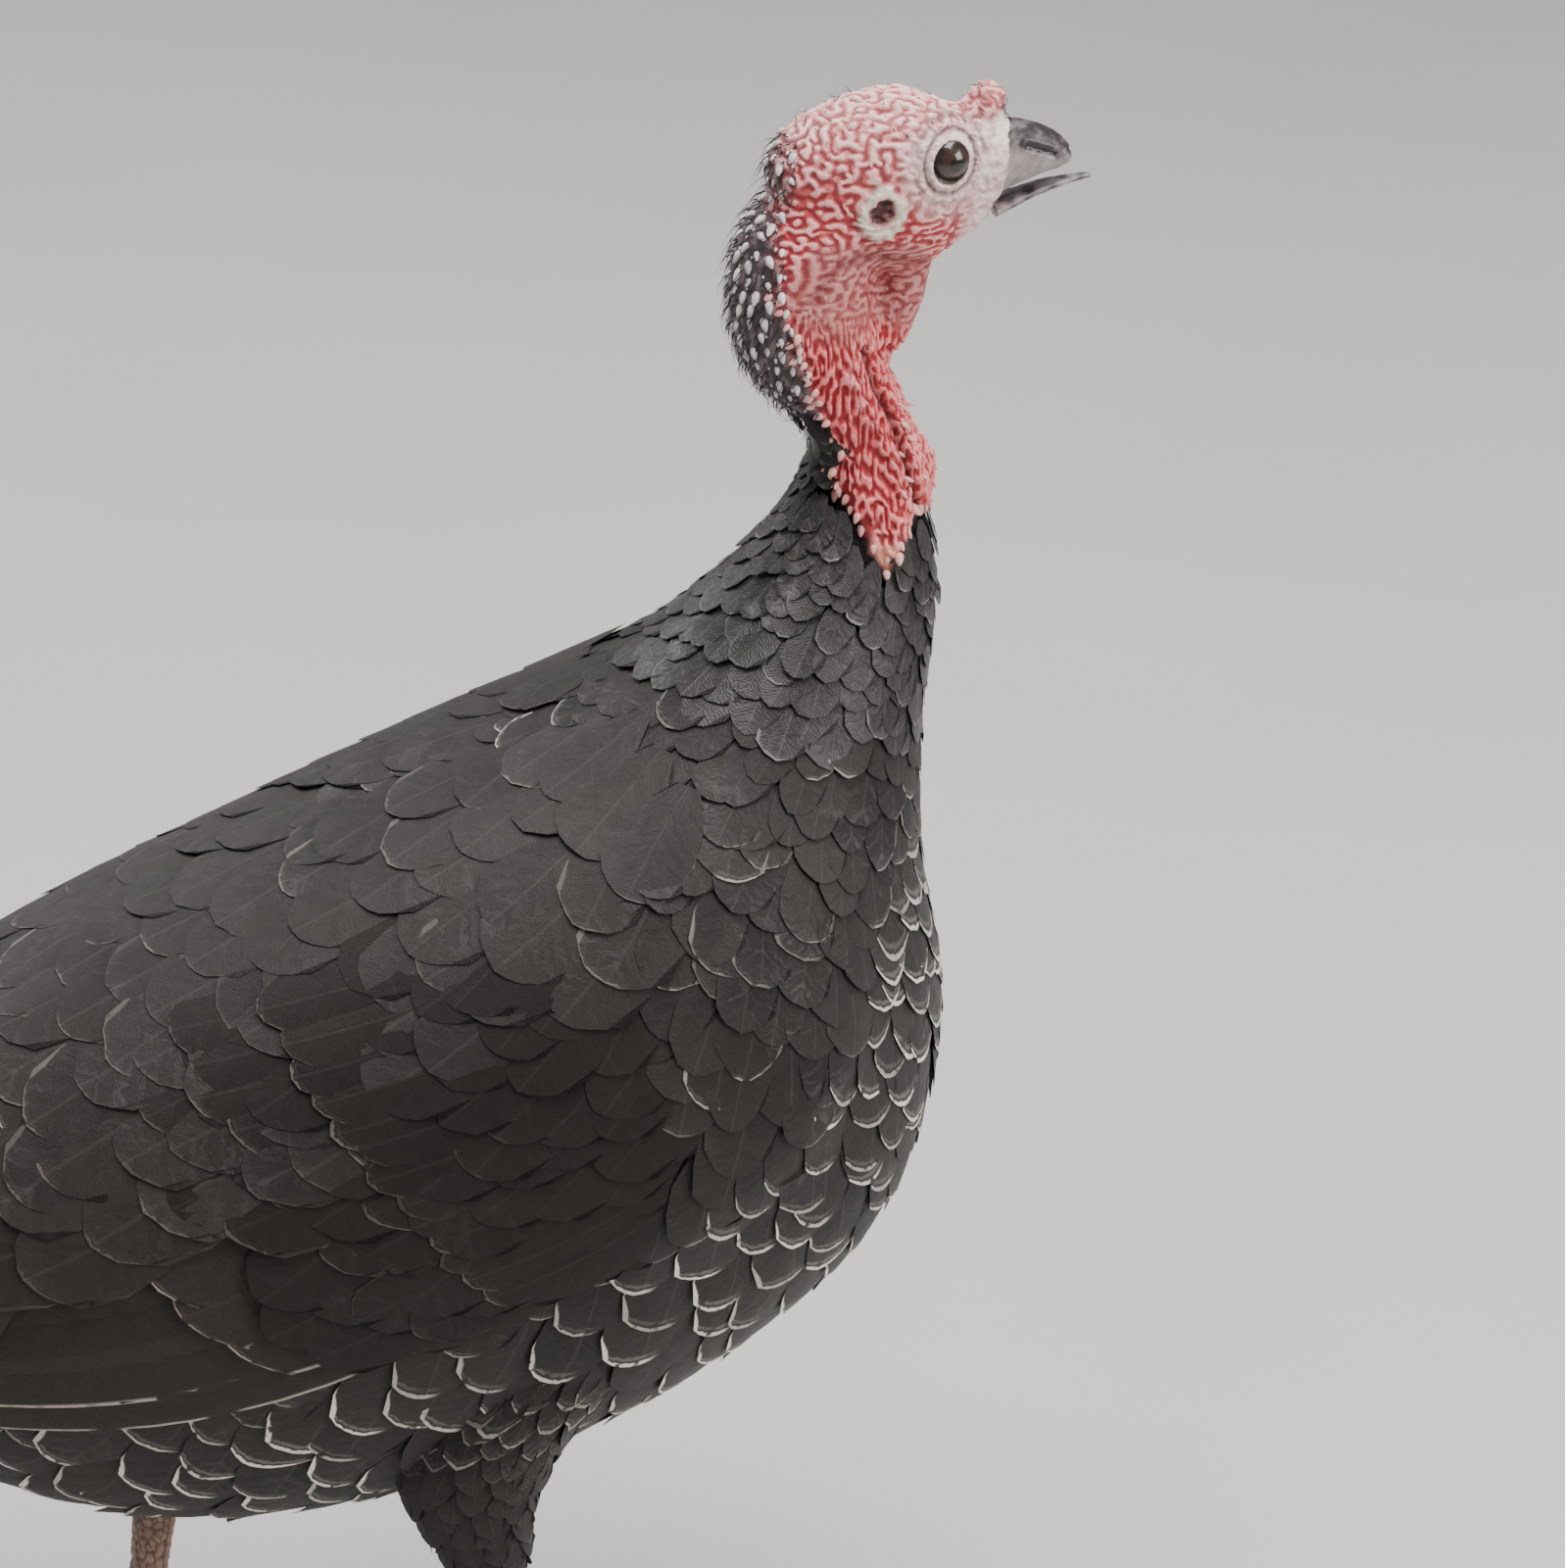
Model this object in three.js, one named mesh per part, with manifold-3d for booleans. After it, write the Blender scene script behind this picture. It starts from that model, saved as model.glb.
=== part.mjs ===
// A domestic turkey hen, life size, standing alert with the right leg forward: millimetres, +X towards the
// bill, +Y to the bird's left, +Z up, with the soles on Z 0. Every solid has the outer shape of the coat.
import * as THREE from "three";
import { mergeVertices } from "three/addons/utils/BufferGeometryUtils.js";
import Module from "manifold-3d";

const wasm = await Module();
wasm.setup();

// ---------------------------------------------------------------- sizes

const GAP = 0.3; // left between two pieces that touch
const WELD = 1e-4; // vertices this close are one
const RIGHT = -1;
const LEFT = 1;
const SIDES = { right: RIGHT, left: LEFT };

const at = (x, z, y = 0) => new THREE.Vector3(x, y, z);

// Each station is a ring: its point on the nape or back, its point on the throat, breast or belly, and
// its half width. They run from inside the head, down the neck and back to the tail.
const BODY = [
  { back: at(121, 638), front: at(150, 616), half: 16.5 },
  { back: at(106, 620), front: at(148, 600), half: 19 },
  { back: at(101.5, 592), front: at(150, 578), half: 20 },
  { back: at(110, 566), front: at(158, 560), half: 19 },
  { back: at(127.5, 543), front: at(165, 541), half: 18 },
  { back: at(122.5, 526), front: at(170, 514), half: 22 },
  { back: at(102.5, 501), front: at(170.5, 483), half: 33 },
  { back: at(75, 476), front: at(166, 447), half: 50 },
  { back: at(41, 456), front: at(165, 404), half: 71 },
  { back: at(2, 441), front: at(173, 335), half: 90 },
  { back: at(-42, 425), front: at(154, 263), half: 99 },
  { back: at(-86, 407), front: at(97, 210), half: 101 },
  { back: at(-127, 387), front: at(22, 178), half: 97 },
  { back: at(-166, 363), front: at(-58, 162), half: 85 },
  { back: at(-201, 337), front: at(-128, 169), half: 66 },
  { back: at(-228, 316), front: at(-186, 200), half: 44 },
  { back: at(-246, 300), front: at(-224, 238), half: 25 },
];
const LAST = BODY.length - 1;
const SHOULDER = 7; // the station where the wings begin
const CUT = { reach: 6, slack: 0.008 }; // how the body is parted, in mm and stations
const FULLNESS = 0.92; // power that fills a ring out from an ellipse
const SHOULDERED = 0.06; // how much wider a ring is above its middle than below
const RINGS = 24; // along the whole body

// Rings from the back of the skull to the base of the bill: crown, jaw and half width.
const HEAD = [
  { crown: at(113, 641), jaw: at(128, 616), half: 12.5 },
  { crown: at(121, 652), jaw: at(141, 607), half: 16.5 },
  { crown: at(135, 660), jaw: at(154, 603.5), half: 18.2 },
  { crown: at(151, 664), jaw: at(166.5, 605), half: 17.4 },
  { crown: at(167, 660), jaw: at(177, 612), half: 15.2 },
  { crown: at(181, 654.5), jaw: at(184.5, 617.5), half: 12 },
  { crown: at(190, 652), jaw: at(188, 622), half: 9.4 },
  { crown: at(195.5, 649.5), jaw: at(190.5, 625.5), half: 7.6 },
];
const EYE = { centre: at(170.3, 642.6), inset: 9.4, radius: 8.4 };
const EAR = { centre: at(147.6, 628), aside: 19, radius: 7.4, hollow: 3, depth: 3 };

// The bill: each half is a run of rings from its base to its tip.
const UPPER_BILL = [
  { top: at(190, 651), bottom: at(185, 624), half: 8.6 },
  { top: at(197, 650), bottom: at(192, 627), half: 7.4 },
  { top: at(203, 648), bottom: at(198, 629.8), half: 6.2 },
  { top: at(208.5, 645), bottom: at(204, 631.8), half: 4.9 },
  { top: at(212.5, 641), bottom: at(209, 633), half: 3.6 },
  { top: at(214.4, 637.6), bottom: at(212.4, 634.2), half: 2 },
];
const LOWER_BILL = [
  { top: at(188, 623), bottom: at(188.5, 619), half: 7.2 },
  { top: at(193, 625), bottom: at(193.5, 621.2), half: 6.4 },
  { top: at(201, 627.8), bottom: at(201.3, 624.2), half: 5 },
  { top: at(211, 629.8), bottom: at(211.4, 627.2), half: 3.2 },
  { top: at(220.5, 630.4), bottom: at(220.8, 629.2), half: 1.2 },
];

// The folded wing follows this hull, which is the body's hull until it runs on behind the rump.
const WING_HALF = [56, 78, 98, 107, 109];
const WING_REAR = [
  { back: at(-127, 390), front: at(22, 178), half: 107 },
  { back: at(-166, 369), front: at(-58, 164), half: 100 },
  { back: at(-201, 346), front: at(-128, 174), half: 88 },
  { back: at(-230, 327), front: at(-186, 202), half: 76 },
  { back: at(-252, 312), front: at(-224, 224), half: 67 },
  { back: at(-276, 295), front: at(-264, 230), half: 59 },
  { back: at(-306, 274), front: at(-300, 220), half: 50 },
  { back: at(-336, 253), front: at(-334, 208), half: 42 },
];
const COVERTS = { outer: 0, thick: 5 };
const SECONDARIES = {
  outer: -1.8,
  thick: 4,
  half: 22,
  count: 6,
  roots: [new THREE.Vector2(20, 312), new THREE.Vector2(-80, 362)],
  tips: [new THREE.Vector2(-206, 268), new THREE.Vector2(-250, 326)],
};
const PRIMARIES = {
  outer: -6.2,
  thick: 3,
  half: 15,
  count: 4,
  roots: [new THREE.Vector2(-90, 292), new THREE.Vector2(-90, 306)],
  tips: [new THREE.Vector2(-258, 256), new THREE.Vector2(-326, 262)],
};

const TAIL = { root: at(-206, 306), droop: 27, length: 286, half: 60, sag: 17, thick: 5 };
const BLADE = { count: 9, half: 21, spread: 2.6, aside: 5, shorter: 5 }; // from each to the next
const UPPER_COVERTS = { start: at(-180, 338), end: at(-330, 258), half: 38, tall: 9 };
const LOWER_COVERTS = { start: at(-168, 236), end: at(-336, 229), half: 42, tall: 27 };

// Where each leg stands: hip side, hock, ball of the foot and the way the foot points, in degrees.
const LEGS = {
  right: {
    side: RIGHT,
    knee: at(26, 262, -60),
    calf: at(-3, 198, -61),
    hock: at(2, 145, -58),
    foot: at(38, 0, -60),
    turn: -4,
  },
  left: {
    side: LEFT,
    knee: at(-46, 262, 60),
    calf: at(-84, 196, 60),
    hock: at(-103, 140, 56),
    foot: at(-124, 0, 60),
    turn: 5,
  },
};
const THIGH = [
  { along: 46, across: 30 },
  { along: 27, across: 22 },
  { along: 12, across: 11 },
];
const SHANK = [
  { down: 0, radius: 9.5 },
  { down: 0.05, radius: 10.8 },
  { down: 0.15, radius: 8.4 },
  { down: 0.35, radius: 6.5 },
  { down: 0.62, radius: 6.2 },
  { down: 0.84, radius: 7 },
  { down: 0.925, radius: 10 },
  { down: 0.965, radius: 12.4 },
  { down: 1, radius: 11.6 },
];
const TOES = [
  { name: "hallux", angle: 168, length: 27, radius: 4.4, lift: 6, claw: 11 },
  { name: "inner", angle: 42, length: 47, radius: 5.4, lift: 0, claw: 12 },
  { name: "middle", angle: 0, length: 62, radius: 5.9, lift: 0, claw: 13 },
  { name: "outer", angle: -42, length: 50, radius: 5.3, lift: 0, claw: 12 },
];
const TOE_START = 11; // from the middle of the foot
const SOLE = 0; // height of the flats under the toes
const JOINTS = 2.5; // pads under a toe

// ---------------------------------------------------------------- materials

const finish = (color, roughness) => new THREE.MeshStandardMaterial({ color, roughness, metalness: 0 });
const plumage = finish(0x2b2625, 0.6);
const flightFeather = finish(0x3a302c, 0.55);
const redSkin = finish(0xc65a5c, 0.55);
const paleSkin = finish(0xe6c6c8, 0.5);
const bill = finish(0x8d8388, 0.4);
const eyeball = finish(0x2a1a16, 0.08);
const scaledSkin = finish(0x9a7a68, 0.6);
const clawHorn = finish(0x3b302a, 0.45);

// ---------------------------------------------------------------- solids

/** A closed geometry as a solid, with its faces turned outwards. */
function solid(geometry) {
  const bare = new THREE.BufferGeometry().setAttribute("position", geometry.getAttribute("position"));
  bare.setIndex(geometry.index);
  const merged = mergeVertices(bare, WELD);
  const build = (order) => {
    const triVerts = [];
    for (let i = 0; i < merged.index.count; i += 3) {
      const corner = order.map((k) => merged.index.getX(i + k));
      if (new Set(corner).size === 3) triVerts.push(...corner);
    }
    const vertProperties = merged.getAttribute("position").array;
    return new wasm.Manifold(
      new wasm.Mesh({ numProp: 3, vertProperties, triVerts: new Uint32Array(triVerts) }),
    );
  };
  const made = build([0, 1, 2]);
  return made.volume() > 0 ? made : build([0, 2, 1]);
}

/** A closed tube. place(t, up, side) gives a point of the ring at t, with up and side on the unit circle. */
function loft(rings, sides, place) {
  const tube = new THREE.CylinderGeometry(1, 1, 1, sides, rings);
  const points = tube.getAttribute("position");
  for (let i = 0; i < points.count; i++) {
    const p = place(0.5 - points.getY(i), points.getZ(i), points.getX(i));
    points.setXYZ(i, p.x, p.y, p.z);
  }
  return solid(tube);
}

/** The largest of the bodies that a cut left. */
function largest(cut) {
  return cut.decompose().reduce((best, body) => (body.volume() > best.volume() ? body : best));
}

/** Solids joined into one. */
const joined = (solids) => solids.reduce((sum, next) => sum.add(next));
const mix = THREE.MathUtils.lerp;
const smooth = (points) => new THREE.CatmullRomCurve3(points, false, "centripetal");
const squared = (value, power) => Math.sign(value) * Math.abs(value) ** power;

const group = new THREE.Group();

/** Adds a solid to the bird as a named mesh. */
function node(name, shape, material) {
  const mesh = shape.getMesh();
  const position = new Float32Array(mesh.numVert * 3);
  for (let i = 0; i < mesh.numVert; i++) {
    position.set(mesh.vertProperties.subarray(i * mesh.numProp, i * mesh.numProp + 3), i * 3);
  }
  const geometry = new THREE.BufferGeometry()
    .setAttribute("position", new THREE.BufferAttribute(position, 3))
    .setIndex(new THREE.BufferAttribute(mesh.triVerts, 1));
  geometry.computeVertexNormals();
  const made = new THREE.Mesh(geometry, material);
  made.name = name;
  group.add(made);
}

// ---------------------------------------------------------------- neck and trunk

const backLine = smooth(BODY.map((s) => s.back));
const frontLine = smooth(BODY.map((s) => s.front));
const halfWidth = smooth(BODY.map((s) => at(s.half, 0)));

/** A point of a ring between a back point and a front point, grown outwards. */
function ringPoint(back, front, half, up, side, grow) {
  const radius = back.clone().sub(front).multiplyScalar(0.5);
  const depth = radius.length() + grow;
  const rise = squared(up, FULLNESS);
  const across = squared(side, FULLNESS) * (1 + SHOULDERED * rise);
  return back
    .clone()
    .add(front)
    .multiplyScalar(0.5)
    .add(radius.normalize().multiplyScalar(depth * rise))
    .add(at(0, 0, (half + grow) * across));
}

/** The hull of the neck and trunk between two stations. */
function bodyHull(grow, rings, from = 0, to = LAST) {
  return loft(rings, 18, (t, up, side) => {
    const u = (from + (to - from) * t) / LAST;
    return ringPoint(backLine.getPoint(u), frontLine.getPoint(u), halfWidth.getPoint(u).x, up, side, grow);
  });
}

/** The part of the body that lies between two stations. */
function bodyLength(body, from, to) {
  const start = Math.max(0, from + CUT.slack);
  const end = Math.min(LAST, to - CUT.slack);
  return body.intersect(bodyHull(CUT.reach, 2 * (to - from), start, end));
}

// ---------------------------------------------------------------- head

const crownLine = smooth(HEAD.map((s) => s.crown));
const jawLine = smooth(HEAD.map((s) => s.jaw));
const headWidth = smooth(HEAD.map((s) => at(s.half, 0)));

/** The skull, cheeks and lores, without the bill. */
function headShape(grow) {
  return loft(9, 16, (t, up, side) =>
    ringPoint(crownLine.getPoint(t), jawLine.getPoint(t), headWidth.getPoint(t).x, up, side, grow),
  );
}

/** A ball pressed or stretched to its half sizes, pitched nose up by an angle in degrees. */
function lump(centre, along, across, tall, pitch = 0, segments = 10) {
  const ball = new THREE.SphereGeometry(1, segments, Math.round(segments * 0.7));
  ball.scale(along, across, tall);
  ball.rotateY(THREE.MathUtils.degToRad(-pitch));
  ball.translate(centre.x, centre.y, centre.z);
  return solid(ball);
}

const onSide = (point, y) => at(point.x, point.z, y);
const eyeShape = (side, grow) =>
  lump(onSide(EYE.centre, side * EYE.inset), EYE.radius + grow, EYE.radius + grow, EYE.radius + grow, 0, 11);

/** The rim of the ear opening: a ring turned about the line across the head. */
function earRim(side) {
  const profile = [
    [EAR.hollow, -EAR.depth],
    [EAR.radius, -EAR.depth],
    [EAR.radius, -0.4],
    [EAR.radius - 1.4, 0.7],
    [EAR.hollow + 0.6, 0],
    [EAR.hollow, -0.9],
    [EAR.hollow, -EAR.depth],
  ].map(([r, y]) => new THREE.Vector2(r, y + EAR.aside));
  const rim = new THREE.LatheGeometry(profile, 10);
  if (side === RIGHT) rim.rotateX(Math.PI);
  rim.translate(EAR.centre.x, 0, EAR.centre.z);
  return solid(rim);
}

/** The hole in the side of the head that the ear's rim sits in. */
function earPlug(side) {
  const length = 12;
  const plug = new THREE.CylinderGeometry(EAR.radius + GAP, EAR.radius + GAP, length, 10);
  plug.translate(EAR.centre.x, side * (EAR.aside - EAR.depth - GAP + length / 2), EAR.centre.z);
  return solid(plug);
}

/** One half of the bill. */
function billHalf(stations, grow = 0) {
  const top = smooth(stations.map((s) => s.top));
  const bottom = smooth(stations.map((s) => s.bottom));
  const width = smooth(stations.map((s) => at(s.half, 0)));
  return loft(6, 8, (t, up, side) =>
    ringPoint(top.getPoint(t), bottom.getPoint(t), width.getPoint(t).x, up, side, grow),
  );
}

const nostril = (side) => lump(at(203, 641.4, side * 5.6), 4.6, 2.2, 1.1, -22, 6);

// The fleshy pieces of the bare skin.
const dewlap = () => lump(at(156.5, 591), 8.4, 8, 22, -22, 10);
const snoodBase = () => lump(at(185, 655), 5.4, 4.8, 4.2, 0, 6);
const snoodKnob = () => lump(at(186.6, 659.2), 5.4, 4.4, 3.8, 0, 6);
const caruncle = (side) => lump(at(153, 511, side * 20.5), 4.6, 4.2, 12, -6, 7);
const frontCaruncle = () => lump(at(165.6, 529), 4.6, 5.4, 13, -6, 7);

// ---------------------------------------------------------------- wings

const overBody = WING_HALF.map((half, i) => ({ ...BODY[SHOULDER + i], half }));
const wingStations = [...overBody, ...WING_REAR];
const wingBack = smooth(wingStations.map((s) => s.back));
const wingFront = smooth(wingStations.map((s) => s.front));
const wingHalf = smooth(wingStations.map((s) => at(s.half, 0)));

/** The smooth surface that the feathers of both wings lie in, grown outwards. */
function wingHull(grow) {
  return loft(8, 16, (t, up, side) =>
    ringPoint(wingBack.getPoint(t), wingFront.getPoint(t), wingHalf.getPoint(t).x, up, side, grow),
  );
}

/** A slab that a wing's outline, drawn from the side, cuts out of the hull. */
function wingSlab(shape, side) {
  const slab = new THREE.ExtrudeGeometry(shape, { depth: 140, bevelEnabled: false, curveSegments: 3 });
  slab.rotateX(Math.PI / 2);
  slab.translate(0, -4, 0);
  if (side === LEFT) slab.scale(1, -1, 1);
  return solid(slab);
}

/** The outline of a flight feather from its root to its round tip. */
function vane(root, tip, halfVane) {
  const length = tip.distanceTo(root);
  const turn = Math.atan2(tip.y - root.y, tip.x - root.x);
  const along = new THREE.Vector2(Math.cos(turn), Math.sin(turn));
  const off = new THREE.Vector2(-along.y, along.x).multiplyScalar(halfVane);
  const nose = root.clone().addScaledVector(along, length - halfVane);
  const shape = new THREE.Shape();
  shape.moveTo(root.x + off.x, root.y + off.y);
  shape.lineTo(root.x - off.x, root.y - off.y);
  shape.lineTo(nose.x - off.x, nose.y - off.y);
  shape.absarc(nose.x, nose.y, halfVane, turn - Math.PI / 2, turn + Math.PI / 2);
  return shape;
}

/** The shoulder and the coverts, which lie over the roots of the flight feathers. */
function covertOutline() {
  const shape = new THREE.Shape();
  shape.moveTo(84, 428);
  shape.bezierCurveTo(132, 412, 126, 352, 96, 326);
  shape.bezierCurveTo(66, 300, 20, 286, -40, 280);
  shape.bezierCurveTo(-66, 284, -78, 304, -82, 326);
  shape.bezierCurveTo(-86, 350, -92, 366, -112, 386);
  shape.bezierCurveTo(-70, 410, 20, 440, 84, 428);
  return shape;
}

/** A run of folded flight feathers, each laid between its root and its tip. */
function flightFeathers(run, side, grow = 0) {
  const slabs = Array.from({ length: run.count }, (_, i) => {
    const share = i / (run.count - 1);
    const root = run.roots[0].clone().lerp(run.roots[1], share);
    const tip = run.tips[0].clone().lerp(run.tips[1], share);
    return wingSlab(vane(root, tip, run.half + grow), side);
  });
  const outside = wingHull(run.outer + grow);
  const inside = wingHull(run.outer - run.thick - grow);
  return joined(slabs).intersect(outside).subtract(inside);
}

// ---------------------------------------------------------------- tail

/** The folded tail: a sheet that sags to both sides, cut to the outline of its fan of feathers. */
function tailFeathers(grow = 0) {
  const sheet = loft(3, 14, (t, up, side) => {
    const sag = TAIL.sag * side * side;
    return at(TAIL.length * t * 1.01, sag - (0.5 * TAIL.thick + grow) * up, TAIL.half * 1.2 * side);
  });
  const middle = (BLADE.count - 1) / 2;
  const blades = Array.from({ length: BLADE.count }, (_, i) => {
    const step = i - middle;
    const tip = new THREE.Vector2(TAIL.length - BLADE.shorter * Math.abs(step), 0);
    const blade = new THREE.ExtrudeGeometry(vane(new THREE.Vector2(), tip, BLADE.half + grow), {
      depth: 3 * TAIL.sag,
      bevelEnabled: false,
      curveSegments: 3,
    });
    blade.translate(0, step * BLADE.aside, -TAIL.sag);
    blade.rotateZ(THREE.MathUtils.degToRad(step * BLADE.spread));
    return solid(blade);
  });
  const fan = joined(blades).intersect(sheet);
  return fan
    .rotate([0, 180 - TAIL.droop, 0])
    .translate([TAIL.root.x, 0, TAIL.root.z]);
}

/** A bundle of small feathers over or under the root of the tail. */
function covertBundle({ start, end, half, tall }) {
  return loft(5, 9, (t, up, side) => {
    const swell = Math.sqrt(Math.max(0, 1 - Math.abs(2 * t - 1) ** 3));
    const middle = start.clone().lerp(end, t);
    return middle.add(at(0, tall * up * swell, half * side * swell));
  });
}

// ---------------------------------------------------------------- legs

/** The feathered drumstick down to the hock. */
function thigh(leg) {
  const line = smooth([leg.knee, leg.calf, leg.hock.clone().add(at(0, GAP))]);
  const size = smooth(THIGH.map((s) => at(s.along, s.across)));
  return loft(6, 12, (t, up, side) => {
    const { x, z } = size.getPoint(t);
    return line.getPoint(t).add(at(x * up, 0, z * side));
  });
}

/** The scaled shank, from the hock down to the round pad that the bird stands on. */
function shank(leg, grow = 0) {
  const stations = smooth(SHANK.map((s) => at(s.radius, s.down)));
  return loft(12, 8, (t, up, side) => {
    const { x: radius, z: down } = stations.getPoint(t);
    const across = at(1.1 * (radius + grow) * up, 0, (radius + grow) * side);
    return leg.hock.clone().lerp(leg.foot, down).add(across);
  });
}

/** The way that a toe points, level with the floor. */
function toeWay(leg, toe) {
  const angle = THREE.MathUtils.degToRad(leg.turn - leg.side * toe.angle);
  return at(Math.cos(angle), 0, Math.sin(angle));
}

/** A toe with its pads, flat under each pad. */
function toeShape(leg, toe) {
  const way = toeWay(leg, toe);
  const aside = at(-way.y, 0, way.x);
  return loft(8, 7, (t, up, side) => {
    const taper = toe.radius * mix(1, 0.68, t);
    const radius = taper * (1 - 0.1 * Math.cos(2 * Math.PI * JOINTS * t) - 0.14 * Math.exp(-12 * t));
    const height = taper * 0.88 + toe.lift * (1 - t);
    const reach = TOE_START + (toe.length - TOE_START) * t;
    const p = at(leg.foot.x, height + radius * up, leg.foot.y);
    p.addScaledVector(way, reach).addScaledVector(aside, radius * side);
    return p.setZ(Math.max(SOLE, p.z));
  });
}

/** A claw that bends down to the floor from the end of its toe. */
function clawShape(leg, toe) {
  const way = toeWay(leg, toe);
  const aside = at(-way.y, 0, way.x);
  const start = toe.length + GAP;
  return loft(4, 6, (t, up, side) => {
    const radius = mix(0.6 * toe.radius, 0.6, t);
    const height = mix(0.66 * toe.radius, 1, t * t);
    const p = at(leg.foot.x, Math.max(SOLE, height + radius * up), leg.foot.y);
    return p.addScaledVector(way, start + toe.claw * t).addScaledVector(aside, radius * 0.8 * side);
  });
}

// ---------------------------------------------------------------- the bird

const body = bodyHull(0, RINGS);
const wholeBody = bodyHull(GAP, RINGS);
const grownHead = headShape(GAP);

let head = headShape(0);
for (const side of Object.values(SIDES)) {
  head = head.subtract(eyeShape(side, GAP)).subtract(earPlug(side));
}
let upperBill = billHalf(UPPER_BILL).subtract(grownHead);
for (const side of Object.values(SIDES)) {
  upperBill = upperBill.subtract(nostril(side));
}
const lowerBill = billHalf(LOWER_BILL).subtract(grownHead).subtract(billHalf(UPPER_BILL, GAP));

node("head", head, paleSkin);
node("bill_upper", largest(upperBill), bill);
node("bill_lower", largest(lowerBill), bill);
const snood = snoodBase().add(snoodKnob()).subtract(grownHead).subtract(billHalf(UPPER_BILL, GAP));
node("snood", largest(snood), redSkin);
for (const [name, side] of Object.entries(SIDES)) {
  node("eye_" + name, eyeShape(side, 0), eyeball);
  node("ear_" + name, earRim(side), paleSkin);
}

const neckUpper = bodyLength(body, -1, 4).subtract(grownHead);
node("neck_upper", largest(neckUpper), redSkin);
node("dewlap", largest(dewlap().subtract(grownHead).subtract(wholeBody)), redSkin);
node("caruncle_right", largest(caruncle(RIGHT).subtract(wholeBody)), redSkin);
node("caruncle_left", largest(caruncle(LEFT).subtract(wholeBody)), redSkin);
node("caruncle_front", largest(frontCaruncle().subtract(wholeBody)), redSkin);
node("neck_lower", bodyLength(body, 4, SHOULDER), plumage);
node("breast", bodyLength(body, SHOULDER, 10), plumage);
node("trunk", bodyLength(body, 10, 13), plumage);
node("rump", bodyLength(body, 13, LAST + 1), plumage);

const covertHull = wingHull(COVERTS.outer).subtract(wingHull(COVERTS.outer - COVERTS.thick));
const overCoverts = wingHull(COVERTS.outer + 2).subtract(wingHull(COVERTS.outer - COVERTS.thick - GAP));
const wings = [];
for (const [name, side] of Object.entries(SIDES)) {
  const covertSlab = wingSlab(covertOutline(), side);
  const covertCut = wholeBody.add(overCoverts.intersect(covertSlab));
  const secondaries = flightFeathers(SECONDARIES, side).subtract(covertCut);
  const primaries = flightFeathers(PRIMARIES, side).subtract(covertCut);
  node("wing_coverts_" + name, largest(covertHull.intersect(covertSlab).subtract(wholeBody)), plumage);
  node("wing_secondaries_" + name, largest(secondaries), flightFeather);
  node("wing_primaries_" + name, largest(primaries), flightFeather);
  wings.push(flightFeathers(SECONDARIES, side, GAP), flightFeathers(PRIMARIES, side, GAP));
}

const underTail = wholeBody.add(joined(wings));
const underCoverts = underTail.add(tailFeathers(GAP));
node("tail_feathers", largest(tailFeathers().subtract(underTail)), flightFeather);
node("tail_coverts_upper", largest(covertBundle(UPPER_COVERTS).subtract(underCoverts)), plumage);
node("tail_coverts_lower", largest(covertBundle(LOWER_COVERTS).subtract(underCoverts)), plumage);

for (const [name, leg] of Object.entries(LEGS)) {
  const shankCut = shank(leg, GAP);
  node("thigh_" + name, largest(thigh(leg).subtract(wholeBody).subtract(shankCut)), plumage);
  node("shank_" + name, shank(leg), scaledSkin);
  for (const toe of TOES) {
    const shape = toeShape(leg, toe).subtract(shankCut);
    node(`toe_${toe.name}_${name}`, largest(shape), scaledSkin);
    node(`claw_${toe.name}_${name}`, clawShape(leg, toe), clawHorn);
  }
}

// The origin is at the middle of the bird's box, on the floor.
group.updateMatrixWorld(true);
const box = new THREE.Box3().setFromObject(group);
const middle = box.getCenter(new THREE.Vector3());
group.position.set(-middle.x, -middle.y, -box.min.z);

export default group;
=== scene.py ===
"""A domestic turkey standing at ease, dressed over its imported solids.

One skin carries the bare red head and neck and the hidden flesh of the body. Feathers are thin closed
vanes laid on smooth surfaces that follow the same stations as the solids.
"""

import logging
import math
from dataclasses import dataclass, field
from enum import Enum
from itertools import product
from typing import Callable, Sequence

import bmesh
import bpy
import numpy as np
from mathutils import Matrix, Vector


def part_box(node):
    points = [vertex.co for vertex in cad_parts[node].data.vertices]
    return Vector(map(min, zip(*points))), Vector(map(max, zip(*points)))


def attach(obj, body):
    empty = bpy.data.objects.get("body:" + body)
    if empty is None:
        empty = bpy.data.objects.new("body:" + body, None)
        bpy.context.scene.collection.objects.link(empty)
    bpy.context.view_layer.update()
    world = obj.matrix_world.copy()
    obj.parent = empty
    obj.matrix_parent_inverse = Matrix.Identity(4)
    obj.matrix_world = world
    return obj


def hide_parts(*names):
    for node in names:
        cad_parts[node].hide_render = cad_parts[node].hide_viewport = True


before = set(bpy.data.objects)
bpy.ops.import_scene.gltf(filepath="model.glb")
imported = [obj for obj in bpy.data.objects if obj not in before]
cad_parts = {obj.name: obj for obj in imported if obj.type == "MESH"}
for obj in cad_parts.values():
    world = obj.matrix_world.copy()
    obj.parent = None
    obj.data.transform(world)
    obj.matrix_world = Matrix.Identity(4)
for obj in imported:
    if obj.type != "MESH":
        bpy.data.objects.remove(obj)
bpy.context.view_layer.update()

LOG = logging.getLogger("turkey")
MM = 0.001
SIDES = (("right", -1), ("left", 1))
AROUND = tuple(product((-1, 0, 1), repeat=3))  # the steps to a cell's neighbours, and to itself
Array = np.ndarray
BMesh, Mesh, Object = bmesh.types.BMesh, bpy.types.Mesh, bpy.types.Object
Material, Socket = bpy.types.Material, bpy.types.NodeSocket
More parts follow.
